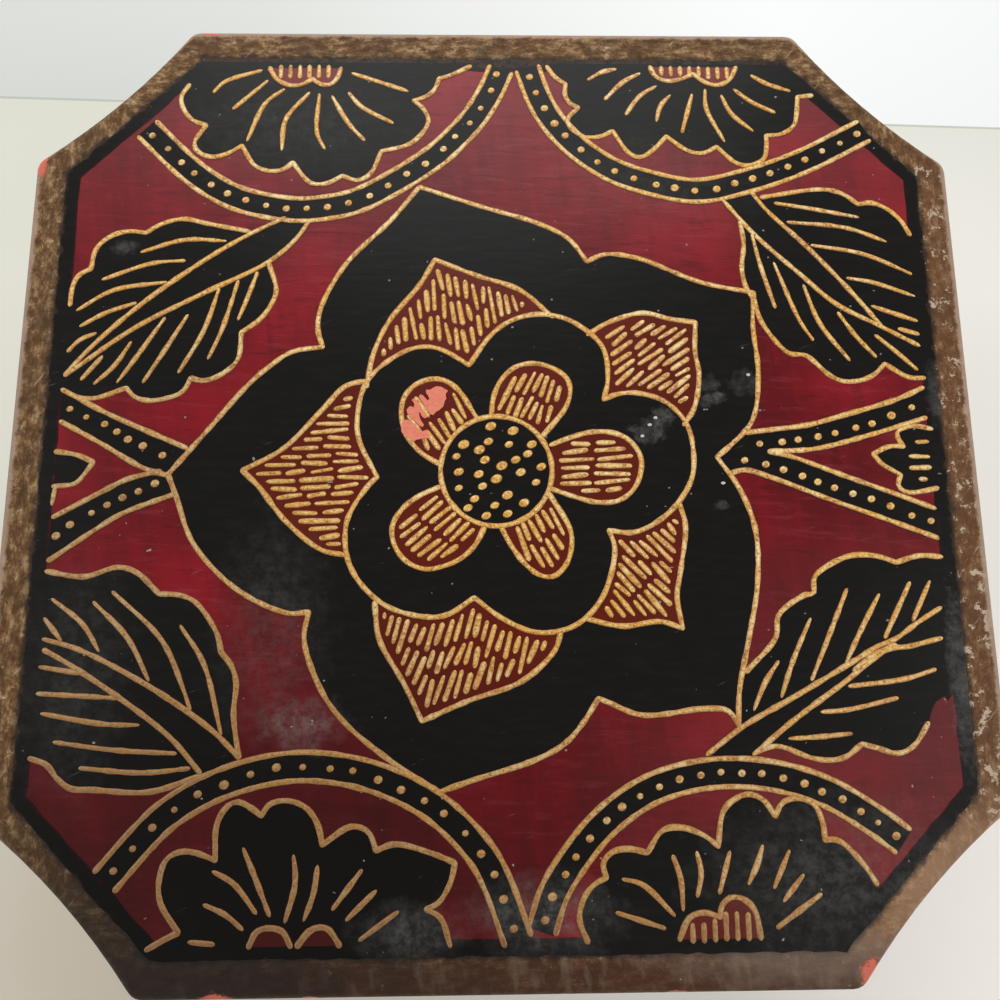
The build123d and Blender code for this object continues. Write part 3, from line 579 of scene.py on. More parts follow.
def umber_paint():
    """Umber paint wiped over the wood's edges: brown streaks along each side, rubbed pale on the right and along
    the rim, darker along the front with painted shadow at the front left, and chipped through to the coral
    undercoat."""
    material, tree, place = begin("umber_paint_on_wood_wiped")
    umber = colour("umber")
    dark = [c * 0.46 for c in umber]
    spot = node(tree, "SeparateXYZ", [place]).outputs
    flat = node(tree, "VectorMath", [place], operation="ABSOLUTE")
    sides = node(tree, "SeparateXYZ", [flat]).outputs
    turned = node(tree, "Math", [sides[0], sides[1]], operation="GREATER_THAN")
    runs = [streaks(tree, place, stretch, 0, 1.1, {"Detail": 7.0, "Roughness": 0.75})
            for stretch in ((2.2, 1, 1), (1, 2.2, 1))]
    streak = node(tree, "Mix", {"Factor": turned, "A": runs[0], "B": runs[1]})
    curls = node(tree, "TexNoise", {"Vector": place, "Scale": every(2.1), "Detail": 7.0, "Roughness": 0.72})
    grime = node(tree, "TexNoise", {"Vector": place, "Scale": every(8), "Detail": 4.0})
    # The lid's top is handled and rubbed most. Elsewhere the paint is calmer.
    on_top = node(tree, "Math", [spot[2], (LID_TOP - 1.2) * MM], operation="GREATER_THAN")
    flecks = node(tree, "Math", [curls, on_top], operation="MULTIPLY")
    upper = node(tree, "MapRange", {"Value": spot[2], "From Min": (LID_TOP - 7) * MM, "From Max": LID_TOP * MM})
    fore = node(tree, "MapRange", {"Value": spot[1], "From Min": -71 * MM, "From Max": -77 * MM})
    fore = node(tree, "Math", [fore, upper], operation="MULTIPLY")
    # Greyish smears dragged across the front, and crisp pale flecks and scratches, most of them on the right.
    smeared = streaks(tree, place, (1, 3, 1), 0.2, 2.4, {"Detail": 4.0})
    at_front = node(tree, "MapRange", {"Value": spot[1], "From Min": -68 * MM, "From Max": -75 * MM})
    for limit in (at_front, on_top):
        smeared = node(tree, "Math", [smeared, limit], operation="MULTIPLY")
    nicked = streaks(tree, place, (9, 1, 1), 0.9, 0.8, {"Detail": 3.0})
    nicked = node(tree, "Math", [nicked, at_front], operation="SUBTRACT")
    bared = node(tree, "MapRange", {"Value": spot[0], "From Min": 68 * MM, "From Max": 76 * MM, "To Max": 0.1})
    bared = node(tree, "Math", [bared, upper, curls], operation="MULTIPLY_ADD")
    # How far out a place is, measured square to the nearest of the lid's eight sides, in metres.
    slanted = node(tree, "Math", [sides[0], sides[1]], operation="ADD")
    inward = ((2 * LID_HALF - CORNER_CUT) / math.sqrt(2) - LID_HALF) * MM
    slanted = node(tree, "Math", [slanted, math.sqrt(0.5), -inward], operation="MULTIPLY_ADD")
    out = node(tree, "Math", [sides[0], sides[1]], operation="MAXIMUM")
    out = node(tree, "Math", [out, slanted], operation="MAXIMUM")
    uneven = node(tree, "Math", [curls, 2.4 * MM, out], operation="MULTIPLY_ADD")
    rubbed = node(tree, "MapRange", {"Value": uneven, "From Min": 80.2 * MM, "From Max": 80.7 * MM})
    rubbed = node(tree, "Math", [rubbed, on_top], operation="MULTIPLY")
    rubbed = node(tree, "Math", [rubbed, at_front], operation="SUBTRACT")
    smudge = node(tree, "MapRange", {"Value": uneven, "From Min": 76.9 * MM, "From Max": 76.1 * MM})
    smudge = node(tree, "Math", [smudge, on_top], operation="MULTIPLY")
    pale = patch(tree, place, (68, -66, LID_TOP), (14, 12, 9), 0.5, 3.0, 1.2)
    # A painted shadow darkens the border at the front left.
    border_shadow = patch(tree, place, (-52, -77, LID_TOP), (44, 19, 6), 0.5, 6.0, 1.2)
    greyed = patch(tree, place, (50, -76, LID_TOP), (22, 3.2, 6), 0.7, 3.0, 0.9)
    chipped = 0.0
    for (x, y), (a, b) in EDGE_CHIPS:
        chip = patch(tree, place, (x, y, LID_TOP - 0.3), (a, b, 1.3), 0.6, 0.9, 0.25)
        chipped = node(tree, "Math", [chipped, chip], operation="MAXIMUM")
    base = node(tree, "ValToRGB", [streak], [(0.38, dark), (0.5, umber), (0.62, linear("A58760"))])
    base = rub(tree, base,
               (dark, grime, 0.48, 0.66, 0.6), ([c * 0.6 for c in dark], curls, 0.5, 0.4, 0.55),
               ([c * 0.85 for c in umber], on_top, 1, 0, 0.75), ("B89C76", flecks, 0.58, 0.64, 0.55),
               ("6A4129", spot[0], 70 * MM, 77 * MM, 0.45), ("3F1F10", fore, 0, 1, 0.85),
               ("84705E", smeared, 0.52, 0.7, 0.5), ("C4B49C", nicked, 0.69, 0.73, 0.5),
               ("CDBBA4", bared, 0.665, 0.69, 0.8), ("AE937D", rubbed, 0, 1, 0.8), ("B08A6C", pale, 0, 1, 0.6),
               (colour("black"), smudge, 0, 1, 0.8), ("0F0A07", border_shadow, 0, 1, 0.85),
               ("8C7B6E", greyed, 0, 1, 0.38), ("D8705C", chipped, 0, 1, 1.0))
    relief = node(tree, "Math", [streak, curls], operation="ADD")
    relief = node(tree, "Math", [relief, chipped], operation="SUBTRACT")
    dull = node(tree, "MapRange", {"Value": streak, "From Min": 0.3, "From Max": 0.7, "To Min": 0.62,
                                   "To Max": 0.42})
    return surface(material, tree, base, dull, relief, 0.26, {"Specular IOR Level": 0.15})


def coral_undercoat():
    """Chalky coral undercoat, bare where the lacquer has flaked: matt, with a powdery grain."""
    material, tree, place = begin("coral_undercoat_flaked")
    powder = node(tree, "TexNoise", {"Vector": place, "Scale": every(0.5), "Detail": 3.0})
    coral = colour("coral")
    base = rub(tree, coral, ([c * 0.7 for c in coral], powder, 0.4, 0.75, 0.7))
    return surface(material, tree, base, 0.7, powder, 0.04, {})


def cotton_velvet():
    """Cotton velvet glued over card: dark pile whose nap catches the light at the edges and where it lies
    another way."""
    material, tree, place = begin("cotton_velvet_glued")
    velvet = colour("velvet")
    # The pile is 0.3 mm, drawn coarser so that it shows.
    pile = node(tree, "TexNoise", {"Vector": place, "Scale": every(0.55), "Detail": 2.0})
    nap = node(tree, "TexNoise", {"Vector": place, "Scale": every(18), "Detail": 3.0})
    base = rub(tree, [c * 0.75 for c in velvet],
               ([c * 1.3 for c in velvet], nap, 0.3, 0.7, 1.0), ([c * 0.4 for c in velvet], pile, 0.35, 0.7, 0.5))
    return surface(material, tree, base, 0.92, pile, 0.18,
                  {"Sheen Weight": 0.7, "Sheen Roughness": 0.35, "Sheen Tint": "C8707C"})


def ebonised_wood():
    """Softwood stained black and wiped: the straight grain still shows as dull and shiny lines."""
    material, tree, place = begin("softwood_ebonised")
    fibre = streaks(tree, place, (16, 16, 1), 0, 0.7, {"Detail": 4.0})
    base = rub(tree, "14100E", ("33261F", fibre, 0.35, 0.7, 1.0))
    dull = node(tree, "MapRange", {"Value": fibre, "From Min": 0.3, "From Max": 0.7, "To Min": 0.42,
                                   "To Max": 0.6})
    return surface(material, tree, base, dull, fibre, 0.05, {"Coat Weight": 0.1, "Coat Roughness": 0.4})


def aged_brass():
    """Rolled brass, handled and tarnished: warm metal with brown clouds and fine scratches."""
    material, tree, place = begin("brass_rolled_tarnished")
    cloud = node(tree, "TexNoise", {"Vector": place, "Scale": every(2.4), "Detail": 4.0})
    scratch = streaks(tree, place, (10, 1, 1), 0, 0.35, {"Detail": 2.0})
    base = rub(tree, "C6A257", ("6E5426", cloud, 0.45, 0.7, 1.0))
    dull = node(tree, "MapRange", {"Value": cloud, "From Min": 0.35, "From Max": 0.7, "To Min": 0.26,
                                   "To Max": 0.5})
    return surface(material, tree, base, dull, scratch, 0.01, {"Metallic": 1.0})


def steel_wire():
    """Drawn steel wire: grey, dull and a little rusty at the head."""
    material, tree, place = begin("steel_wire_drawn")
    rust = node(tree, "TexNoise", {"Vector": place, "Scale": every(0.8), "Detail": 3.0})
    base = rub(tree, "8C8A86", ("5A3A26", rust, 0.5, 0.7, 0.8))
    dull = node(tree, "MapRange", {"Value": rust, "From Min": 0.4, "From Max": 0.7, "To Min": 0.35,
                                   "To Max": 0.7})
    return surface(material, tree, base, dull, rust, 0.02, {"Metallic": 1.0})


MADE = {}


def made(maker):
    """A material, made the first time that it is asked for."""
    if maker not in MADE:
        MADE[maker] = maker()
    return MADE[maker]


# Lines are drawn in steps of about this length, in millimetres.
STEP = 0.8


def smooth(points, step=STEP):
    """A line drawn through the points without a corner, in short steps."""
    points = [Vector(p) for p in points]
    if len(points) == 2:
        count = max(2, round((points[1] - points[0]).length / step))
        return [points[0].lerp(points[1], i / count) for i in range(count + 1)]
    points = [2 * points[0] - points[1], *points, 2 * points[-1] - points[-2]]
    drawn = []
    for a, b, c, d in zip(points, points[1:], points[2:], points[3:]):
        before, here, after = (math.sqrt(max((q - p).length, 1e-6)) for p, q in ((a, b), (b, c), (c, d)))
        leave = (c - b) + here * ((b - a) / before - (c - a) / (before + here))
        arrive = (c - b) + here * ((d - c) / after - (d - b) / (here + after))
        count = max(1, round((c - b).length / step))
        for i in range(count):
            t = i / count
            drawn.append(b * (2 * t**3 - 3 * t**2 + 1) + leave * (t**3 - 2 * t**2 + t)
                         + c * (3 * t**2 - 2 * t**3) + arrive * (t**3 - t**2))
    drawn.append(points[-2])
    return drawn


def stretches(outline, closed=False):
    """An outline's stretches, each carried on to where the next one starts, drawn smooth."""
    starts = [[part[0]] for part in outline[1:]] + [[outline[0][0]] if closed else []]
    return [smooth(part + start) for part, start in zip(outline, starts)]


def joined(parts):
    """Stretches as one line, without the points where they meet twice."""
    meeting = 0.05
    line = []
    for point in (point for part in parts for point in part):
        if not line or (point - line[-1]).length > meeting:
            line.append(point)
    if (line[0] - line[-1]).length < meeting:
        line.pop()
    return line


def inside(polygon, point):
    """Whether a point lies within a polygon."""
    x, y = point
    hit = False
    for (ax, ay), (bx, by) in zip(polygon, polygon[1:] + polygon[:1]):
        if (ay > y) != (by > y) and x < (bx - ax) * (y - ay) / (by - ay) + ax:
            hit = not hit
    return hit


def clearance(polygon, point):
    """How far a point is from a polygon's nearest side."""
    nearest = math.inf
    for a, b in zip(polygon, polygon[1:] + polygon[:1]):
        a, b = Vector(a), Vector(b)
        side = b - a
        t = max(0.0, min(1.0, (point - a).dot(side) / max(side.length_squared, 1e-9)))
        nearest = min(nearest, (a + side * t - point).length)
    return nearest


# How far a bead's foot is sunk into the coat under it, how much lower than an area the line round it is laid,
# and how far an outline's line runs on past its ends.
FOOT, DROP, RUN_ON = 0.04, 0.04, 0.35
# A bead's section: offsets from its middle as a share of half its width, and how high it stands there, where
# None is its foot.
BEAD = ((-1, None), (-0.66, 0.62), (0, 1), (0.66, 0.62), (1, None))
# Where the rounded end of a bead has its rings, as a share of half its width.
BEAD_END = (0.0, 0.2, 0.55, 1.0)
# How much a line's and a dot's width wander with the hand, and how far apart a line's swellings are.
LINE_WANDER, DOT_WANDER, SWELL_SPACING = 0.3, 0.35, 1.6
# A dot's corners, and the slope in degrees that it is drawn out along, towards the upper right.
DOT_SIDES, DOT_SLANT = 12, 25


class Painting:
    """Paint laid on one flat face, gathered into one mesh: areas, and lines and dots of ochre.

    origin, across and up place the face. shift and scale place a part of the lid's pattern on it."""

    def __init__(self, origin, across, up, shift=(0, 0), scale=(1, 1)):
        self.origin = Vector(origin)
        self.across = Vector(across).normalized()
        self.up = Vector(up).normalized()
        self.normal = self.across.cross(self.up)
        self.shift = shift
        self.scale = scale
        self.points = []
        self.faces = []
        self.paints = []
        self.coats = []
        self.round = []
        self.shades = []

    def lay(self, point):
        """A point of the pattern, on the face."""
        return Vector((point[0] * self.scale[0] + self.shift[0], point[1] * self.scale[1] + self.shift[1]))

    def point(self, spot, height, shade):
        """Adds a point of the mesh: its spot on the face, its height above it, and how it is shaded."""
        self.points.append((self.origin + self.across * spot[0] + self.up * spot[1] + self.normal * height) * MM)
        self.shades.append(shade)

    def face(self, corners, paint, is_round):
        """Adds a face of the mesh, painted, and shaded round or flat."""
        if paint not in self.coats:
            self.coats.append(paint)
        self.faces.append(corners)
        self.paints.append(self.coats.index(paint))
        self.round.append(is_round)

    def area(self, outline, paint, level, holes=(), shades=(0.0, 0.0)):
        """A flat coat inside an outline, with straight sides down into the wood. shades is how the coat is shaded
        at its outline and at the edges of its holes."""
        paint = made(paint)
        loops = []
        for number, loop in enumerate([outline, *holes]):
            loop = [self.lay(p) for p in loop]
            turn = sum(a.x * b.y - b.x * a.y for a, b in zip(loop, loop[1:] + loop[:1]))
            loops.append(loop if (turn > 0) == (number == 0) else loop[::-1])
        flat = [p for loop in loops for p in loop]
        first, count = len(self.points), len(flat)
        for height in (UNDER, level):
            for loop, shade in zip(loops, shades):
                for p in loop:
                    self.point(p, height, shade)
        for a, b, c in tessellate_polygon([[p.to_3d() for p in loop] for loop in loops]):
            if (flat[b] - flat[a]).cross(flat[c] - flat[a]) < 0:
                b, c = c, b
            self.face((first + count + a, first + count + b, first + count + c), paint, False)
            self.face((first + a, first + c, first + b), paint, False)
        start = first
        for loop in loops:
            for i in range(len(loop)):
                a, b = start + i, start + (i + 1) % len(loop)
                self.face((a, b, b + count, a + count), paint, False)
            start += len(loop)

    def line(self, path, level, width, taper=0.0, run_on=0.0):
        """A pen line: a low bead with round ends, whose width wanders with the hand. run_on carries it past its
        ends, where it joins another."""
        path = [self.lay(p) for p in path]
        if run_on:
            path.insert(0, path[0] + (path[0] - path[1]).normalized() * run_on)
            path.append(path[-1] + (path[-1] - path[-2]).normalized() * run_on)
        along = [0.0]
        for a, b in zip(path, path[1:]):
            along.append(along[-1] + (b - a).length)
        total, half = along[-1], width / 2
        # A line that is shorter than it is wide would turn inside out.
        if total < width * 0.8:
            return
        ends = [half * k for k in BEAD_END]
        count = max(1, round((total - width) / STEP))
        middle = [half + (total - width) * i / count for i in range(1, count)]
        places = ends + middle + [total - e for e in reversed(ends)]
        first, across = len(self.points), len(BEAD)
        for distance in places:
            i = min(max(bisect_right(along, distance) - 1, 0), len(path) - 2)
            t = (distance - along[i]) / max(along[i + 1] - along[i], 1e-9)
            spot = path[i].lerp(path[i + 1], t)
            ahead = (path[min(i + 2, len(path) - 1)] - path[max(i - 1, 0)]).normalized()
            side = Vector((-ahead.y, ahead.x))
            near = min(distance, total - distance) / half
            end = math.sqrt(max(0.03, 1 - (1 - near) ** 2)) if near < 1 else 1.0
            hand = noise.noise((spot.x / SWELL_SPACING, spot.y / SWELL_SPACING, self.origin.y))
            swell = 1 + LINE_WANDER * hand - taper * (1 - math.sin(math.pi * distance / total))
            # A bead's shade runs from 0 on its crest to 1 at its foot; the ochre paints it as the bead's dark edge
            # and its painted shade.
            for offset, rise in BEAD:
                p = spot + side * offset * half * end * swell
                if rise is None:
                    self.point(p, level - FOOT, 1.0)
                else:
                    self.point(p, level + size("crown") * rise * math.sqrt(end), 0.62 - 0.62 * rise)
        ochre = made(ochre_line)
        last = first + across * (len(places) - 1)
        for a in range(first, last, across):
            for j in range(across):
                k = (j + 1) % across
                self.face((a + j, a + across + j, a + across + k, a + k), ochre, True)
        self.face(tuple(range(first, first + across)), ochre, False)
        self.face(tuple(range(last + across - 1, last - 1, -1)), ochre, False)

    def dot(self, centre, level, width, length):
        """A drop of paint: a low dome, as many times as long as it is wide."""
        centre = self.lay(centre)
        ochre, first = made(ochre_line), len(self.points)
        slant = Matrix.Rotation(math.radians(DOT_SLANT), 2)
        swell = 1 + DOT_WANDER * noise.noise((centre.x, centre.y, self.origin.x))
        # As on a line, a dot's shade is 0 near its crest and 1 at its foot.
        for reach, height, shade in ((1.0, -FOOT, 1.0), (0.72, 0.75 * size("crown"), 0.0)):
            for i in range(DOT_SIDES):
                a = 2 * math.pi * i / DOT_SIDES
                offset = slant @ Vector((length * math.cos(a), math.sin(a)))
                self.point(centre + offset * reach * width / 2 * swell, level + height, shade)
        top = len(self.points)
        self.point(centre, level + size("crown"), 0.2)
        inner = first + DOT_SIDES
        for i in range(DOT_SIDES):
            k = (i + 1) % DOT_SIDES
            self.face((first + i, first + k, inner + k, inner + i), ochre, True)
            self.face((inner + i, inner + k, top), ochre, True)
        self.face(tuple(range(inner - 1, first - 1, -1)), ochre, False)

    def outlined(self, outline, paint, level, line_level=None, closed=True, close_by=(), shade=0.0):
        """An area with a pen line round it. close_by closes an open outline, without a line there."""
        parts = stretches(outline, closed)
        self.area(joined([*parts, [Vector(p) for p in close_by]]), paint, level, shades=(shade,))
        for part in parts:
            self.line(part, level - DROP if line_level is None else line_level, size("line_width"), run_on=RUN_ON)

    def band(self, middle, dots, level, ceiling=math.inf):
        """A dotted band: black between two pen lines, with dots along its middle. A band that runs up into a
        frame is cut off level at the ceiling."""
        path = smooth(middle)
        sides = [(b - a).normalized() for a, b in zip(path, path[1:])]
        sides.append(sides[-1])
        half = size("band_width") / 2
        lines = []
        for reach in (half, -half):
            line = [p + reach * Vector((-s.y, s.x)) for p, s in zip(path, sides)]
            lines.append([Vector((p.x, min(p.y, ceiling))) for p in line if p.y < ceiling + 0.5])
        self.area(lines[0] + lines[1][::-1], black_lacquer, level)
        for line in lines:
            self.line(line, level - DROP, size("line_width"))
        for i in range(dots):
            number = (len(path) - 1) * (i + 0.5) / dots
            low = int(number)
            spot = path[low].lerp(path[low + 1], number - low)
            if spot.y > ceiling - 1.5:
                continue
            wander = Vector((noise.noise((spot.x, spot.y, 4)), noise.noise((spot.x, spot.y, 8)))) * 0.5
            self.dot(spot + wander, level, size("dot_width"), 1.12)

    def hatch(self, region, angle, level, seed, keep_out=(), gaps=(), most=9):
        """Short strokes side by side in rows, as many as fit between the region's edges. keep_out is an area that
        lies over the region, a gap is a place without strokes, and most is how many strokes a row has."""
        dice = random.Random(seed)
        across, pitch, length = size("hatch_width"), size("hatch_pitch"), size("hatch_length")
        along = Vector((math.cos(math.radians(angle)), math.sin(math.radians(angle))))
        side = Vector((-along.y, along.x))
        u = [Vector(p).dot(along) for p in region]
        v = [Vector(p).dot(side) for p in region]
        margin, step, shortest = 0.9 * across, 0.4, 1.2

        def free(spot):
            if not inside(region, spot) or clearance(region, spot) < margin:
                return False
            return not keep_out or not (inside(keep_out, spot) or clearance(keep_out, spot) < margin)

        column = min(v) + pitch * 0.5
        while column < max(v):
            runs, run = [], []
            for i in range(int((max(u) - min(u)) / step) + 2):
                place = min(u) + step * i
                if free(along * place + side * column):
                    run.append(place)
                elif run:
                    runs.append(run)
                    run = []
            for run in runs:
                room = run[-1] - run[0]
                if room < shortest:
                    continue
                count = min(most, max(1, round(room / (length * 1.15))))
                cuts = [run[0] + room * (i + (dice.uniform(-0.12, 0.12) if 0 < i < count else 0)) / count
                        for i in range(count + 1)]
                for start, end in zip(cuts, cuts[1:]):
                    gap = dice.uniform(0.15, 0.5)
                    tilt = dice.uniform(-0.25, 0.25)
                    ends = [along * (start + gap) + side * (column - tilt),
                            along * (end - gap) + side * (column + tilt)]
                    if any(inside(chip, (ends[0] + ends[1]) / 2) for chip in gaps):
                        continue
                    self.line(smooth(ends), level, across * dice.uniform(0.85, 1.15), 0.1)
            column += pitch * dice.uniform(0.9, 1.1)

    def hang(self, name, body="lid"):
        """Makes the mesh, as a piece that moves with a body of the box."""
        mesh = bpy.data.meshes.new(name)
        mesh.from_pydata(self.points, [], self.faces)
        for coat in self.coats:
            mesh.materials.append(coat)
        mesh.polygons.foreach_set("material_index", self.paints)
        mesh.polygons.foreach_set("use_smooth", self.round)
        mesh.attributes.new("shade", "FLOAT", "POINT").data.foreach_set("value", self.shades)
        piece = bpy.data.objects.new(name, mesh)
        bpy.context.scene.collection.objects.link(piece)
        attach(piece, body)


def on_lid():
    """An empty painting on the lid's top."""
    return Painting((0, 0, LID_TOP), (1, 0, 0), (0, 1, 0))


def wavering(outline, amount, spacing=3.0):
    """Straight sides as a brush leaves them, with a slight wobble."""
    points = []
    for a, b in zip(outline, outline[1:] + outline[:1]):
        points += smooth([a, b], 1.6)[:-1]
    return [p + Vector([noise.noise((p.x / spacing, p.y / spacing, layer)) for layer in (1, 6)]) * amount
            for p in points]


def cut_square(half, reach):
    """A square with its corners cut off where |x| + |y| is reach."""
    near = reach - half
    return [(-near, -half), (near, -half), (half, -near), (half, near), (near, half), (-near, half),
            (-half, near), (-half, -near)]


# The lid's red ground, and the outer and the inner edge of the black line round it: half the width, and how
# far the corners reach as |x| + |y|.
GROUND, LINE_OUTSIDE, LINE_INSIDE = (74, 125.6), (74.8, 127), (72.4, 123.8)
# How far out the pattern runs, to end under the black line, and how far half flowers reach into a corner.
FIELD_REACH, CORNER_REACH = 73.2, 126.6
# The straight edge that the half flowers grow from, and the spacing of the strokes in their hearts.
FLOWER_BASE, TICK_PITCH = 74, 1.7


def leaf(painting, edge_a, edge_b, rib_a, rib_b, veins, bare=(), root=()):
    """A black leaf: two scalloped edges, a double rib and veins."""
    level = BLACK - 0.01
    parts_a, parts_b = stretches(edge_a), stretches(edge_b)
    blade_a, blade_b = joined(parts_a), joined(parts_b) + [Vector(p) for p in bare]
    past = math.copysign(FIELD_REACH, blade_a[-1].x)
    ends = [Vector((past, blade_a[-1].y)), Vector((past, blade_b[-1].y))]
    painting.area(joined([blade_a, ends, blade_b[::-1], [Vector(p) for p in root]]), black_lacquer, level)
    painting.area(joined([smooth(rib_a), smooth(rib_b)[::-1]]), black_lacquer, level + 0.004)
    for part in parts_a + parts_b:
        painting.line(part, level - 0.03, size("line_width"), run_on=RUN_ON)
    for rib in (rib_a, rib_b):
        painting.line(smooth(rib), level, size("line_width"), 0.1)
    for vein in veins:
        painting.line(smooth(vein), level, size("stroke_width"), 0.3)


def half_flower(painting, edge, hearts, strokes, base, hatched=True):
    """A black half flower on a base line, with red hearts, which are hatched or plain."""
    level = BLACK + 0.005
    close_by = []
    for x, way in ((edge[-1][-1][0], 1), (edge[0][0][0], -1)):
        over = max(0.0, abs(x) + abs(base) - CORNER_REACH)
        close_by += [(x, math.copysign(abs(base) - over, base)), (x - math.copysign(over, x), base)][::way]
    painting.outlined(edge, black_lacquer, level, level - 0.03, closed=False, close_by=close_by)
    for heart in hearts:
        painting.outlined(heart, crimson_lacquer, level + 0.04, level + 0.02, closed=False, shade=0.8)
        region = [p for part in heart for p in part]
        x, high = min(p[0] for p in region) + 2.0, max(p[0] for p in region) - 1.6
        while hatched and x < high:
            top = max((p[1] for p in region if abs(p[0] - x) < 2.4), default=region[0][1],
                      key=lambda y: abs(y - base))
            foot = base + (top - base) * 0.12
            painting.line(smooth([(x, foot), (x, foot + (top - foot) * 0.68)]), level + 0.04, size("hatch_width"))
            x += TICK_PITCH
    for stroke in strokes:
        painting.line(smooth(stroke), level, size("stroke_width") * 1.05, 0.35)


class JEWELRYBOX_OT_lid_ground(bpy.types.Operator):
    """The lid's crimson ground and the black line round it"""

    bl_idname = "jewelry_box.lid_ground"
    bl_label = "Lid ground"

    def execute(self, context):
        painting = on_lid()
        painting.area(wavering(cut_square(*GROUND), 0.2), crimson_lacquer, RED)
        painting.hang("lid_crimson_ground")
        painting = on_lid()
        outer = wavering(cut_square(*LINE_OUTSIDE), 0.35, 1.6)
        inner = wavering(cut_square(*LINE_INSIDE), 0.3)
        painting.area(outer, black_lacquer, BLACK - 0.015, holes=[inner], shades=(1.0, -1.0))
        painting.hang("lid_black_border_line")
        return {"FINISHED"}


class JEWELRYBOX_OT_lid_flower(bpy.types.Operator):
    """The flower in the middle of the lid: black, hatched red petals, and a dotted heart"""

    bl_idname = "jewelry_box.lid_flower"
    bl_label = "Lid flower"

    def execute(self, context):
        painting = on_lid()
        painting.outlined(FLOWER, black_lacquer, BLACK, RED + 0.02)
        painting.hang("lid_flower_black")
        keep_out = [p for part in INNER_FLOWER for p in part]
        painting = on_lid()
        for seed, (outline, angle) in enumerate(HATCHED_PETALS):
            painting.outlined(outline, crimson_lacquer, PETAL, BLACK + 0.02, closed=False, close_by=[DISC_CENTRE],
                              shade=1.0)
            region = [p for part in outline for p in part] + [DISC_CENTRE]
            painting.hatch(region, angle, PETAL, seed, keep_out)
        painting.hang("lid_flower_hatched_petals")
        painting = on_lid()
        painting.outlined(INNER_FLOWER, black_lacquer, INNER, PETAL + 0.02)
        painting.hang("lid_flower_inner_black")
        painting = on_lid()
        for seed, (points, angle) in enumerate(SMALL_PETALS, 20):
            painting.outlined([points], crimson_lacquer, SMALL, INNER + 0.02, closed=False, shade=1.0)
            painting.hatch(points, angle, SMALL, seed, gaps=PETAL_CHIPS, most=2)
        for chip in PETAL_CHIPS:
            painting.area(wavering(chip, 0.12, 0.8), coral_undercoat, SMALL + 0.13)
        painting.hang("lid_flower_small_petals")
        painting = on_lid()
        # The ring's line runs three points past its start, so that its two ends overlap.
        sides, (cx, cy) = 72, DISC_CENTRE
        ring = [(cx + DISC_RADIUS * math.cos(a), cy + DISC_RADIUS * math.sin(a))
                for a in (2 * math.pi * i / sides for i in range(sides + 3))]
        painting.area(wavering(ring[:sides], 0.15), black_lacquer, SMALL + 0.04)
        painting.line(ring, SMALL + 0.02, size("line_width"))
        for dot in DISC_DOTS:
            painting.dot(dot, SMALL + 0.04, size("dot_width") * 1.12, 1.35)
        painting.hang("lid_flower_disc")
        return {"FINISHED"}


class JEWELRYBOX_OT_lid_bands(bpy.types.Operator):
    """The dotted arches and side bands, and the buds between them"""

    bl_idname = "jewelry_box.lid_bands"
    bl_label = "Lid bands"

    def execute(self, context):
        for name, (middle, dots) in ARCHES.items():
            painting = on_lid()
            painting.band(middle, dots, BLACK + 0.01)
            painting.hang(f"lid_arch_{name}")
        painting = on_lid()
        for number, (upper, lower, dots) in enumerate(SIDE_BANDS.values()):
            lines = [smooth(upper), smooth(lower)]
            painting.area(joined([lines[0], lines[1][::-1]]), black_lacquer, BLACK + 0.003 * number)
            for line in lines:
                painting.line(line, BLACK, size("line_width"))
            for dot in dots:
                painting.dot(dot, BLACK + 0.01, size("dot_width"), 1.15)
        painting.area(RIGHT_JOIN, black_lacquer, BLACK - 0.005)
        painting.hang("lid_side_bands")
        painting = on_lid()
        for outline, strokes in BUDS.values():
            painting.outlined(outline, black_lacquer, BLACK, closed=False)
            for stroke in strokes:
                painting.line(smooth(stroke), BLACK, size("stroke_width"), 0.2)
        painting.hang("lid_buds")
        return {"FINISHED"}


class JEWELRYBOX_OT_lid_leaves(bpy.types.Operator):
    """The four leaves at the sides of the lid"""

    bl_idname = "jewelry_box.lid_leaves"
    bl_label = "Lid leaves"

    def execute(self, context):
        for name, parts in LEAVES.items():
            painting = on_lid()
            leaf(painting, **parts)
            painting.hang(f"lid_leaf_{name}")
        return {"FINISHED"}


class JEWELRYBOX_OT_lid_half_flowers(bpy.types.Operator):
    """The four half flowers inside the arches"""

    bl_idname = "jewelry_box.lid_half_flowers"
    bl_label = "Lid half flowers"

    def execute(self, context):
        for name, parts in HALF_FLOWERS.items():
            painting = on_lid()
            half_flower(painting, base=FLOWER_BASE if "back" in name else -FLOWER_BASE, **parts)
            painting.hang(f"lid_half_flower_{name}")
        return {"FINISHED"}


def cut_at(half):
    """The corner cut of the outline that lies as far inside the lid's on all eight sides, from half its width."""
    return CORNER_CUT - (LID_HALF - half) * (2 - math.sqrt(2))


def wall_faces():
    """Each wall's outer face: its name, its middle at the floor, the direction along it, and half its width."""
    cut = cut_at(WALL_OUT)
    # The four long walls and the four corner walls take turns.
    shapes = ((WALL_OUT, WALL_OUT - cut), ((2 * WALL_OUT - cut) / math.sqrt(2), cut / math.sqrt(2)))
    names = ("front", "corner_front_right", "right", "corner_back_right", "back", "corner_back_left", "left",
             "corner_front_left")
    for number, name in enumerate(names):
        out, half = shapes[number % 2]
        turn = math.radians(45 * number - 90)
        middle = (out * math.cos(turn), out * math.sin(turn), FLOOR_LEVEL)
        yield name, middle, (-math.sin(turn), math.cos(turn), 0), half


def panel_ground(painting, half, low, high):
    """A crimson field with a black line round it, given by half its width, its foot and its top."""
    field, outer, inner = (
        wavering([(inset - half, low + inset), (half - inset, low + inset), (half - inset, high - inset),
                  (inset - half, high - inset)], wobble)
        for inset, wobble in ((0.8, 0.0), (0.0, 0.3), (2.2, 0.2)))
    painting.area(field, crimson_lacquer, RED)
    painting.area(outer, black_lacquer, BLACK + 0.02, holes=[inner])


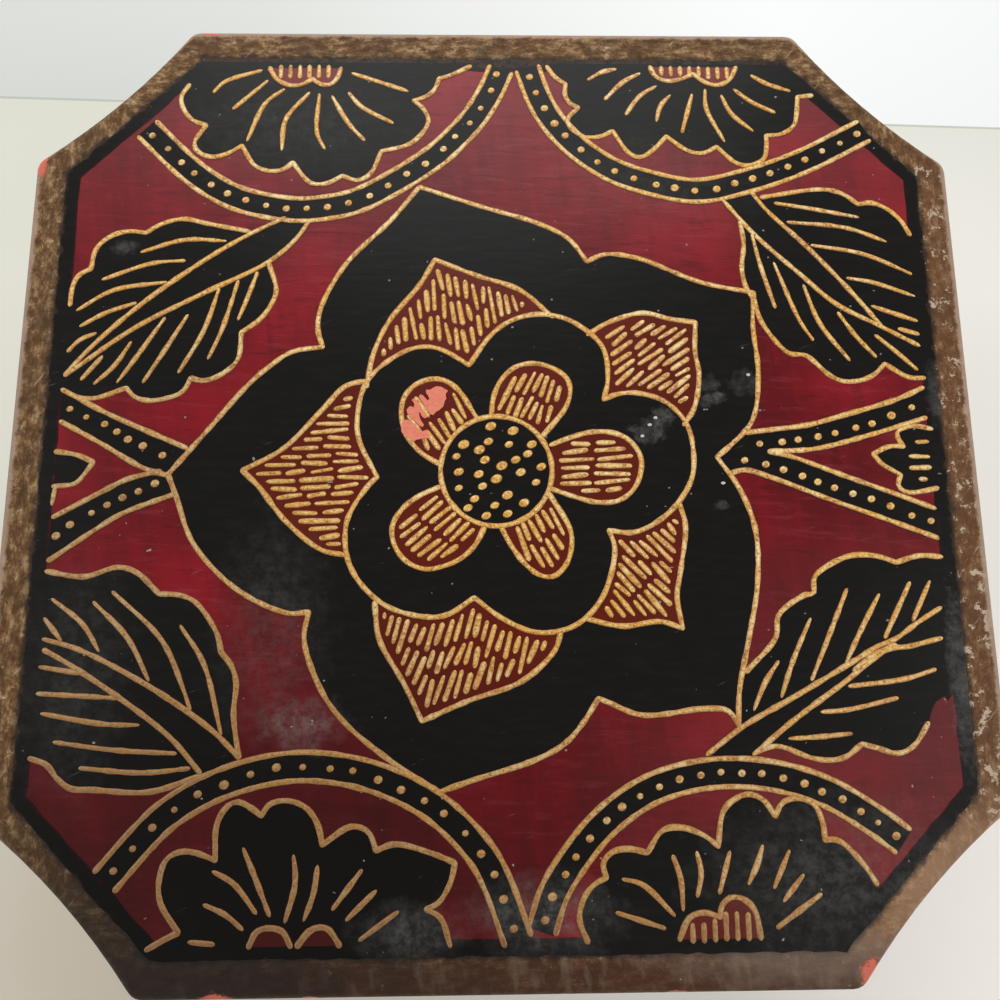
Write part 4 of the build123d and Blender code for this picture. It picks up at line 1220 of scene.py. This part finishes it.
# The tall bud on each corner wall, in millimetres from the middle of the wall's foot.
CORNER_BUD = [[(0, 39), (4.2, 33), (6.4, 27), (5.6, 21)], [(4, 17.5), (5.4, 13), (3.2, 9.5), (0, 9)],
              [(-0.1, 9), (-3.2, 9.5), (-5.4, 13), (-4.1, 17)], [(-4, 17.5), (-5.9, 21), (-6.3, 27), (-4, 33)]]
CORNER_PETAL = [[(0, 33.5), (2.6, 28.5), (2.7, 24), (0, 20.5)], [(-0.1, 20.5), (-2.8, 24), (-2.6, 28.5)]]
CORNER_STROKES = [[(0, 18), (0, 11.5)], [(2, 18), (2.6, 12.5)], [(-2, 18), (-2.6, 12.5)]]
# The foot and the top of each wall's painted panel, above the floor.
PANEL_LOW, PANEL_HIGH = 5.5, WALL_RISE - 6.5
# The level that the arch on a long wall springs from, and its half span and rise.
SPRING, ARCH_HALF, ARCH_RISE = PANEL_LOW + 1.8, 31, 25
# The leaf that the long walls repeat, its size there beside its size on the lid, and its tip and the middle of
# its height on the lid.
WALL_LEAF, SHRINK, LEAF_TIP, LEAF_MIDDLE = LEAVES["front_left"], 0.6, 72.3, 47


def corner_panel(face, name, half):
    """The panel on a corner wall: a bud between two rows of dots."""
    painting = Painting(*face)
    panel_ground(painting, half, PANEL_LOW, PANEL_HIGH)
    painting.outlined(CORNER_BUD, black_lacquer, BLACK)
    painting.outlined(CORNER_PETAL, crimson_lacquer, PETAL)
    for stroke in CORNER_STROKES:
        painting.line(smooth(stroke), BLACK, size("stroke_width"), 0.2)
    for side in (-1, 1):
        for level in (16, 22, 28, 34, 40):
            painting.dot((side * (9.4 - 0.05 * (level - 25)), level), RED, size("dot_width"), 1.15)
    painting.hang(f"wall_{name}_paint", "box")


def long_panel(face, name, half, motif, shift, flip):
    """The panel on a long wall: a garland over an arch with a half flower of the lid's in it, moved sideways
    and turned over where flip is -1, and a leaf on each side."""
    painting = Painting(*face)
    panel_ground(painting, half, PANEL_LOW, PANEL_HIGH)
    painting.band([(-42, PANEL_HIGH + 2.6), (-24, 44.6), (-12, 41.3), (0, 40.2), (12, 41.3), (24, 44.6),
                   (42, PANEL_HIGH + 2.6)], 20, BLACK + 0.01, PANEL_HIGH - 1.4)
    painting.hang(f"wall_{name}_ground", "box")
    painting = Painting(*face)
    painting.band([(-ARCH_HALF * math.cos(math.pi * t / 10), SPRING + ARCH_RISE * math.sin(math.pi * t / 10))
                   for t in range(11)], 20, BLACK + 0.01)
    painting.hang(f"wall_{name}_arch", "box")
    painting = Painting(*face, (flip * shift, FIELD_REACH + SPRING), (flip, 1))
    half_flower(painting, base=-FLOWER_BASE, **HALF_FLOWERS[motif])
    painting.hang(f"wall_{name}_half_flower", "box")
    for side, word in ((-1, "left"), (1, "right")):
        shift = (side * (half - 2 - LEAF_TIP * SHRINK), PANEL_LOW + 13 + LEAF_MIDDLE * SHRINK)
        painting = Painting(*face, shift, (-side * SHRINK, SHRINK))
        leaf(painting, **WALL_LEAF)
        painting.hang(f"wall_{name}_leaf_{word}", "box")


class JEWELRYBOX_OT_walls(bpy.types.Operator):
    """The painted panels on the eight walls"""

    bl_idname = "jewelry_box.walls"
    bl_label = "Wall panels"

    def execute(self, context):
        margin = 1.6
        for number, (name, middle, across, half) in enumerate(wall_faces()):
            face, half = (middle, across, (0, 0, 1)), half - margin
            if number % 2:
                corner_panel(face, name, half)
            else:
                motif, shift = ("front_left", 30) if number in (0, 4) else ("front_right", -35.3)
                long_panel(face, name, half, motif, shift, -1 if number in (2, 4) else 1)
        return {"FINISHED"}


def octagon_ring(half, soft=2.0):
    """Points round an outline that lies inside the lid's, closer together at its corners, which are slightly
    rounded."""
    steps = (32, 8)
    corners = [Vector(p) for p in cut_square(half, 2 * half - cut_at(half))]
    ring = []
    for number, (a, b, c) in enumerate(zip(corners[-1:] + corners[:-1], corners, corners[1:] + corners[:1])):
        start = b + (a - b).normalized() * soft
        end = b + (c - b).normalized() * soft
        ring += [start.lerp(b, t).lerp(b.lerp(end, t), t) for t in (0, 0.25, 0.5, 0.75, 1)]
        after = c + (b - c).normalized() * soft
        count = steps[number % 2]
        ring += [end.lerp(after, i / count) for i in range(1, count)]
    return ring


def cloth(name, points, faces, body, node_name):
    """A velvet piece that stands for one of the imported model's soft parts."""
    mesh = bpy.data.meshes.new(name)
    mesh.from_pydata(points, [], faces)
    mesh.materials.append(made(cotton_velvet))
    mesh.polygons.foreach_set("use_smooth", [True] * len(faces))
    piece = bpy.data.objects.new(name, mesh)
    bpy.context.scene.collection.objects.link(piece)
    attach(piece, body)
    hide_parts(node_name)
    return piece


# A pad's edge: how far in each ring of points lies in millimetres, and its height as a share of the thickness.
PAD_EDGE = [(0.25, 0.0), (0.0, 0.25), (0.0, 0.5), (0.35, 0.74), (1.0, 0.9), (2.2, 0.97)]


def pad(name, node_name, body, facing, crown, seams):
    """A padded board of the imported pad's outline, rounded over its edge and swelling between its seams.
    facing is 1 for a pad that faces up and -1 for one that faces down."""
    low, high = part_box(node_name)
    half, thickness = high[0] / MM, (high[2] - low[2]) / MM
    back = (low[2] if facing > 0 else high[2]) / MM
    rings = PAD_EDGE + [(inset, 1.0) for inset in range(4, int(half) - 1, 2)]
    points, faces = [], []
    outline = octagon_ring(half)
    count = len(outline)
    for inset, rise in rings:
        for p in outline:
            spot = p * ((half - inset) / half)
            lift = 0.0
            if rise == 1.0:
                swell = min([1.0] + [1 - math.exp(-((abs(spot[axis]) / 6.0) ** 2)) for axis in seams])
                wrinkle = 0.12 * noise.noise((spot.x / 9, spot.y / 9, facing))
                lift = (crown * math.sin(math.pi / 2 * min(1.0, inset / 14)) + wrinkle) * swell
            points.append(Vector((spot.x, spot.y, back + facing * (thickness * rise + lift))) * MM)
    last = (len(rings) - 1) * count
    top = len(points)
    points += [Vector((0, 0, back + facing * thickness)) * MM, Vector((0, 0, back)) * MM]
    for a in range(0, last, count):
        faces += [(a + i, a + (i + 1) % count, a + count + (i + 1) % count, a + count + i) for i in range(count)]
    for i in range(count):
        k = (i + 1) % count
        faces += [(last + i, last + k, top), (k, i, top + 1)]
    piece = cloth(name, points, faces if facing > 0 else [face[::-1] for face in faces], body, node_name)


class JEWELRYBOX_OT_velvet(bpy.types.Operator):
    """The velvet lining, the floor pad and the pad under the lid"""

    bl_idname = "jewelry_box.velvet"
    bl_label = "Velvet"

    def execute(self, context):
        low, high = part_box("wall_lining")
        outside, foot, top = high[0] / MM, low[2] / MM, high[2] / MM
        thick = 1.2
        # The band's section: inwards distance and height, with a turned-over top edge.
        section = [(0.1, foot), (thick * 0.8, foot)]
        section += [(thick * (0.86 + 0.14 * math.sin(math.pi * t)), foot + (top - foot) * t)
                    for t in (0.05, 0.2, 0.35, 0.5, 0.65, 0.8, 0.92)]
        section += [(thick, top - 1.4), (thick * 1.06, top - 0.8), (thick * 0.85, top - 0.2), (thick * 0.5, top),
                    (0.15, top - 0.15), (0.05, top - 0.8)]
        points, faces = [], []
        for inset, height in section:
            ring = octagon_ring(outside - inset, soft=1.5)
            points += [Vector((p.x, p.y, height)) * MM for p in ring]
        count = len(ring)
        for row in range(len(section)):
            here, after = row * count, (row + 1) % len(section) * count
            for i in range(count):
                k = (i + 1) % count
                faces.append((here + i, after + i, after + k, here + k))
        lining = cloth("lining_velvet", points, faces, "box", "wall_lining")
        pad("floor_pad_velvet", "floor_pad", "box", 1, 0.7, (0, 1))
        pad("lid_pad_velvet", "lid_pad", "lid", -1, 0.5, ())
        return {"FINISHED"}


def background_rays(tree):
    """1 for the rays that see the background straight or in a shiny or clear surface, and 0 for the others."""
    rays = node(tree, "LightPath").outputs
    seen = node(tree, "Math", [rays["Is Camera Ray"], rays["Is Glossy Ray"]], operation="MAXIMUM")
    return node(tree, "Math", [seen, rays["Is Transmission Ray"]], operation="MAXIMUM")


# The background's colour and its strength where it is seen, and the strength of the light that it gives.
BACKDROP, BACKDROP_SEEN, BACKDROP_LIGHT = "FBFAF7", 0.86, 0.16
TABLE_REACH = 1.6
# Each lamp: its place and its width in metres, and its power in watts. All of them point at LIT_SPOT.
LAMPS = {
    "light_back": ((-0.02, 0.48, 0.42), 0.55, 2.7),
    "light_left": ((-1.0, 0.1, 0.55), 0.8, 4.8),
    "light_right": ((0.72, -0.16, 0.48), 0.5, 3.0),
    "light_front": ((0.5, -0.9, 0.65), 0.8, 1.6),
}
LIT_SPOT = (0, 0, 0.06)
# The camera: millimetres from the middle of the lid's top, degrees, and the focal length in millimetres.
CAMERA_PLACE, CAMERA_TURN, CAMERA_LENS = (-1.48, -22.62, 113.68), (8.4393, -0.8704, -0.3939), 25.1946


def table_top():
    """A pale matt table that meets a paler wall behind the box, as in the photograph, and fades into the
    background far away."""
    material, tree, place = begin("stage_table_matt")
    spot = node(tree, "SeparateXYZ", [place]).outputs
    # A painted shadow on the table at the front left, and a painted pool of light at its front right.
    floor_shadow = patch(tree, place, (-100, -105, 0), (70, 70, 70), 0.1, 60, 1.6)
    floor_light = patch(tree, place, (110, -110, 0), (60, 60, 60), 0.1, 40, 1.0)
    # The line where the table ends is slightly slanted.
    slant = node(tree, "Math", [spot[0], 0.0298, spot[1]], operation="MULTIPLY_ADD")
    wall = rub(tree, "D6D9D5", ("F0F2F2", spot[0], -0.07, 0.09, 1.0))
    # Near the wall the table is painted greyer as painted shadow, with a dark painted shadow line where it meets
    # the wall.
    base = rub(tree, "F2F2E4",
               ("F5F2EB", spot[0], -0.1, 0.1, 1.0), ("D6CCBA", floor_shadow, 0, 1, 1.0),
               ("FFFAF3", floor_light, 0, 1, 1.0), ("CDCFC3", slant, 0.07, 0.1233, 0.55),
               ("A5A79D", slant, 0.1228, 0.1232, 0.6), (wall, slant, 0.1235, 0.1238, 1.0))
    far = node(tree, "VectorMath", [place], operation="LENGTH")
    fade = node(tree, "MapRange", {"Value": far, "From Min": 0.32, "From Max": 1.1})
    fade = node(tree, "Math", [fade, background_rays(tree)], operation="MULTIPLY")
    matt = node(tree, "BsdfPrincipled", {"Base Color": base, "Roughness": 0.6})
    glow = node(tree, "Emission", {"Color": BACKDROP, "Strength": BACKDROP_SEEN})
    node(tree, "OutputMaterial", {"Surface": node(tree, "MixShader", [fade, matt, glow])})
    return material


class JEWELRYBOX_OT_stage(bpy.types.Operator):
    """The pale table, the studio light and the camera"""

    bl_idname = "jewelry_box.stage"
    bl_label = "Stage"

    def execute(self, context):
        scene = bpy.context.scene
        mesh = bpy.data.meshes.new("stage_table")
        mesh.from_pydata([(x * TABLE_REACH, y * TABLE_REACH, 0) for x, y in ((-1, -1), (1, -1), (1, 1), (-1, 1))],
                         [], [(0, 1, 2, 3)])
        mesh.materials.append(table_top())
        table = bpy.data.objects.new("stage_table", mesh)
        scene.collection.objects.link(table)
        for name, (place, width, watts) in LAMPS.items():
            lamp = bpy.data.lights.new(name, "AREA")
            lamp.shape = "DISK"
            lamp.size = width
            lamp.energy = watts
            piece = bpy.data.objects.new(name, lamp)
            piece.location = place
            piece.rotation_euler = (Vector(LIT_SPOT) - Vector(place)).to_track_quat("-Z", "Y").to_euler()
            scene.collection.objects.link(piece)
        world = bpy.data.worlds.new("studio")
        world.use_nodes = True
        tree = world.node_tree
        tree.nodes.clear()
        strength = node(tree, "MapRange", {"Value": background_rays(tree), "To Min": BACKDROP_LIGHT,
                                           "To Max": BACKDROP_SEEN})
        sky = node(tree, "Background", {"Color": BACKDROP, "Strength": strength})
        node(tree, "OutputWorld", {"Surface": sky})
        scene.world = world
        scene.view_settings.view_transform = "Standard"
        lens = bpy.data.cameras.new("camera")
        lens.sensor_width = 36.0
        lens.lens = CAMERA_LENS
        lens.clip_start = 0.005
        camera = bpy.data.objects.new("camera", lens)
        camera.location = (Vector(CAMERA_PLACE) + Vector((0, 0, LID_TOP))) * MM
        camera.rotation_euler = [math.radians(a) for a in CAMERA_TURN]
        scene.collection.objects.link(camera)
        scene.camera = camera
        return {"FINISHED"}


class JEWELRYBOX_OT_finishes(bpy.types.Operator):
    """Paint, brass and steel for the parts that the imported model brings"""

    bl_idname = "jewelry_box.finishes"
    bl_label = "Finishes"

    def execute(self, context):
        makers = {"divider": ebonised_wood, "hinge": aged_brass, "nails": steel_wire, "lining": cotton_velvet,
                  "pad": cotton_velvet}
        for name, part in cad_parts.items():
            maker = next((maker for word, maker in makers.items() if word in name), umber_paint)
            part.data.materials.clear()
            part.data.materials.append(made(maker))
        return {"FINISHED"}


class JEWELRYBOX_PT_panel(bpy.types.Panel):
    """Lists the box's pieces and their settings"""

    bl_idname = "JEWELRYBOX_PT_panel"
    bl_label = "Jewelry box"
    bl_space_type = "VIEW_3D"
    bl_region_type = "UI"
    bl_category = "Jewelry box"

    def draw(self, context):
        for piece in OPERATORS:
            self.layout.operator(piece.bl_idname)
        for group in (context.scene.jewelry_box_sizes, context.scene.jewelry_box_colours):
            for name in group.__annotations__:
                self.layout.prop(group, name)


OPERATORS = (
    JEWELRYBOX_OT_finishes,
    JEWELRYBOX_OT_lid_ground,
    JEWELRYBOX_OT_lid_flower,
    JEWELRYBOX_OT_lid_bands,
    JEWELRYBOX_OT_lid_leaves,
    JEWELRYBOX_OT_lid_half_flowers,
    JEWELRYBOX_OT_walls,
    JEWELRYBOX_OT_velvet,
    JEWELRYBOX_OT_stage,
)
CLASSES = (JewelryBoxSizes, JewelryBoxColours, *OPERATORS, JEWELRYBOX_PT_panel)


def register():
    for item in CLASSES:
        bpy.utils.register_class(item)
    bpy.types.Scene.jewelry_box_sizes = bpy.props.PointerProperty(type=JewelryBoxSizes)
    bpy.types.Scene.jewelry_box_colours = bpy.props.PointerProperty(type=JewelryBoxColours)


def unregister():
    del bpy.types.Scene.jewelry_box_colours
    del bpy.types.Scene.jewelry_box_sizes
    for item in reversed(CLASSES):
        bpy.utils.unregister_class(item)


def main():
    register()
    for piece in OPERATORS:
        group, name = piece.bl_idname.split(".")
        if getattr(getattr(bpy.ops, group), name)() != {"FINISHED"}:
            raise RuntimeError(f"{piece.bl_label} didn't finish")


if __name__ == "__main__":
    main()
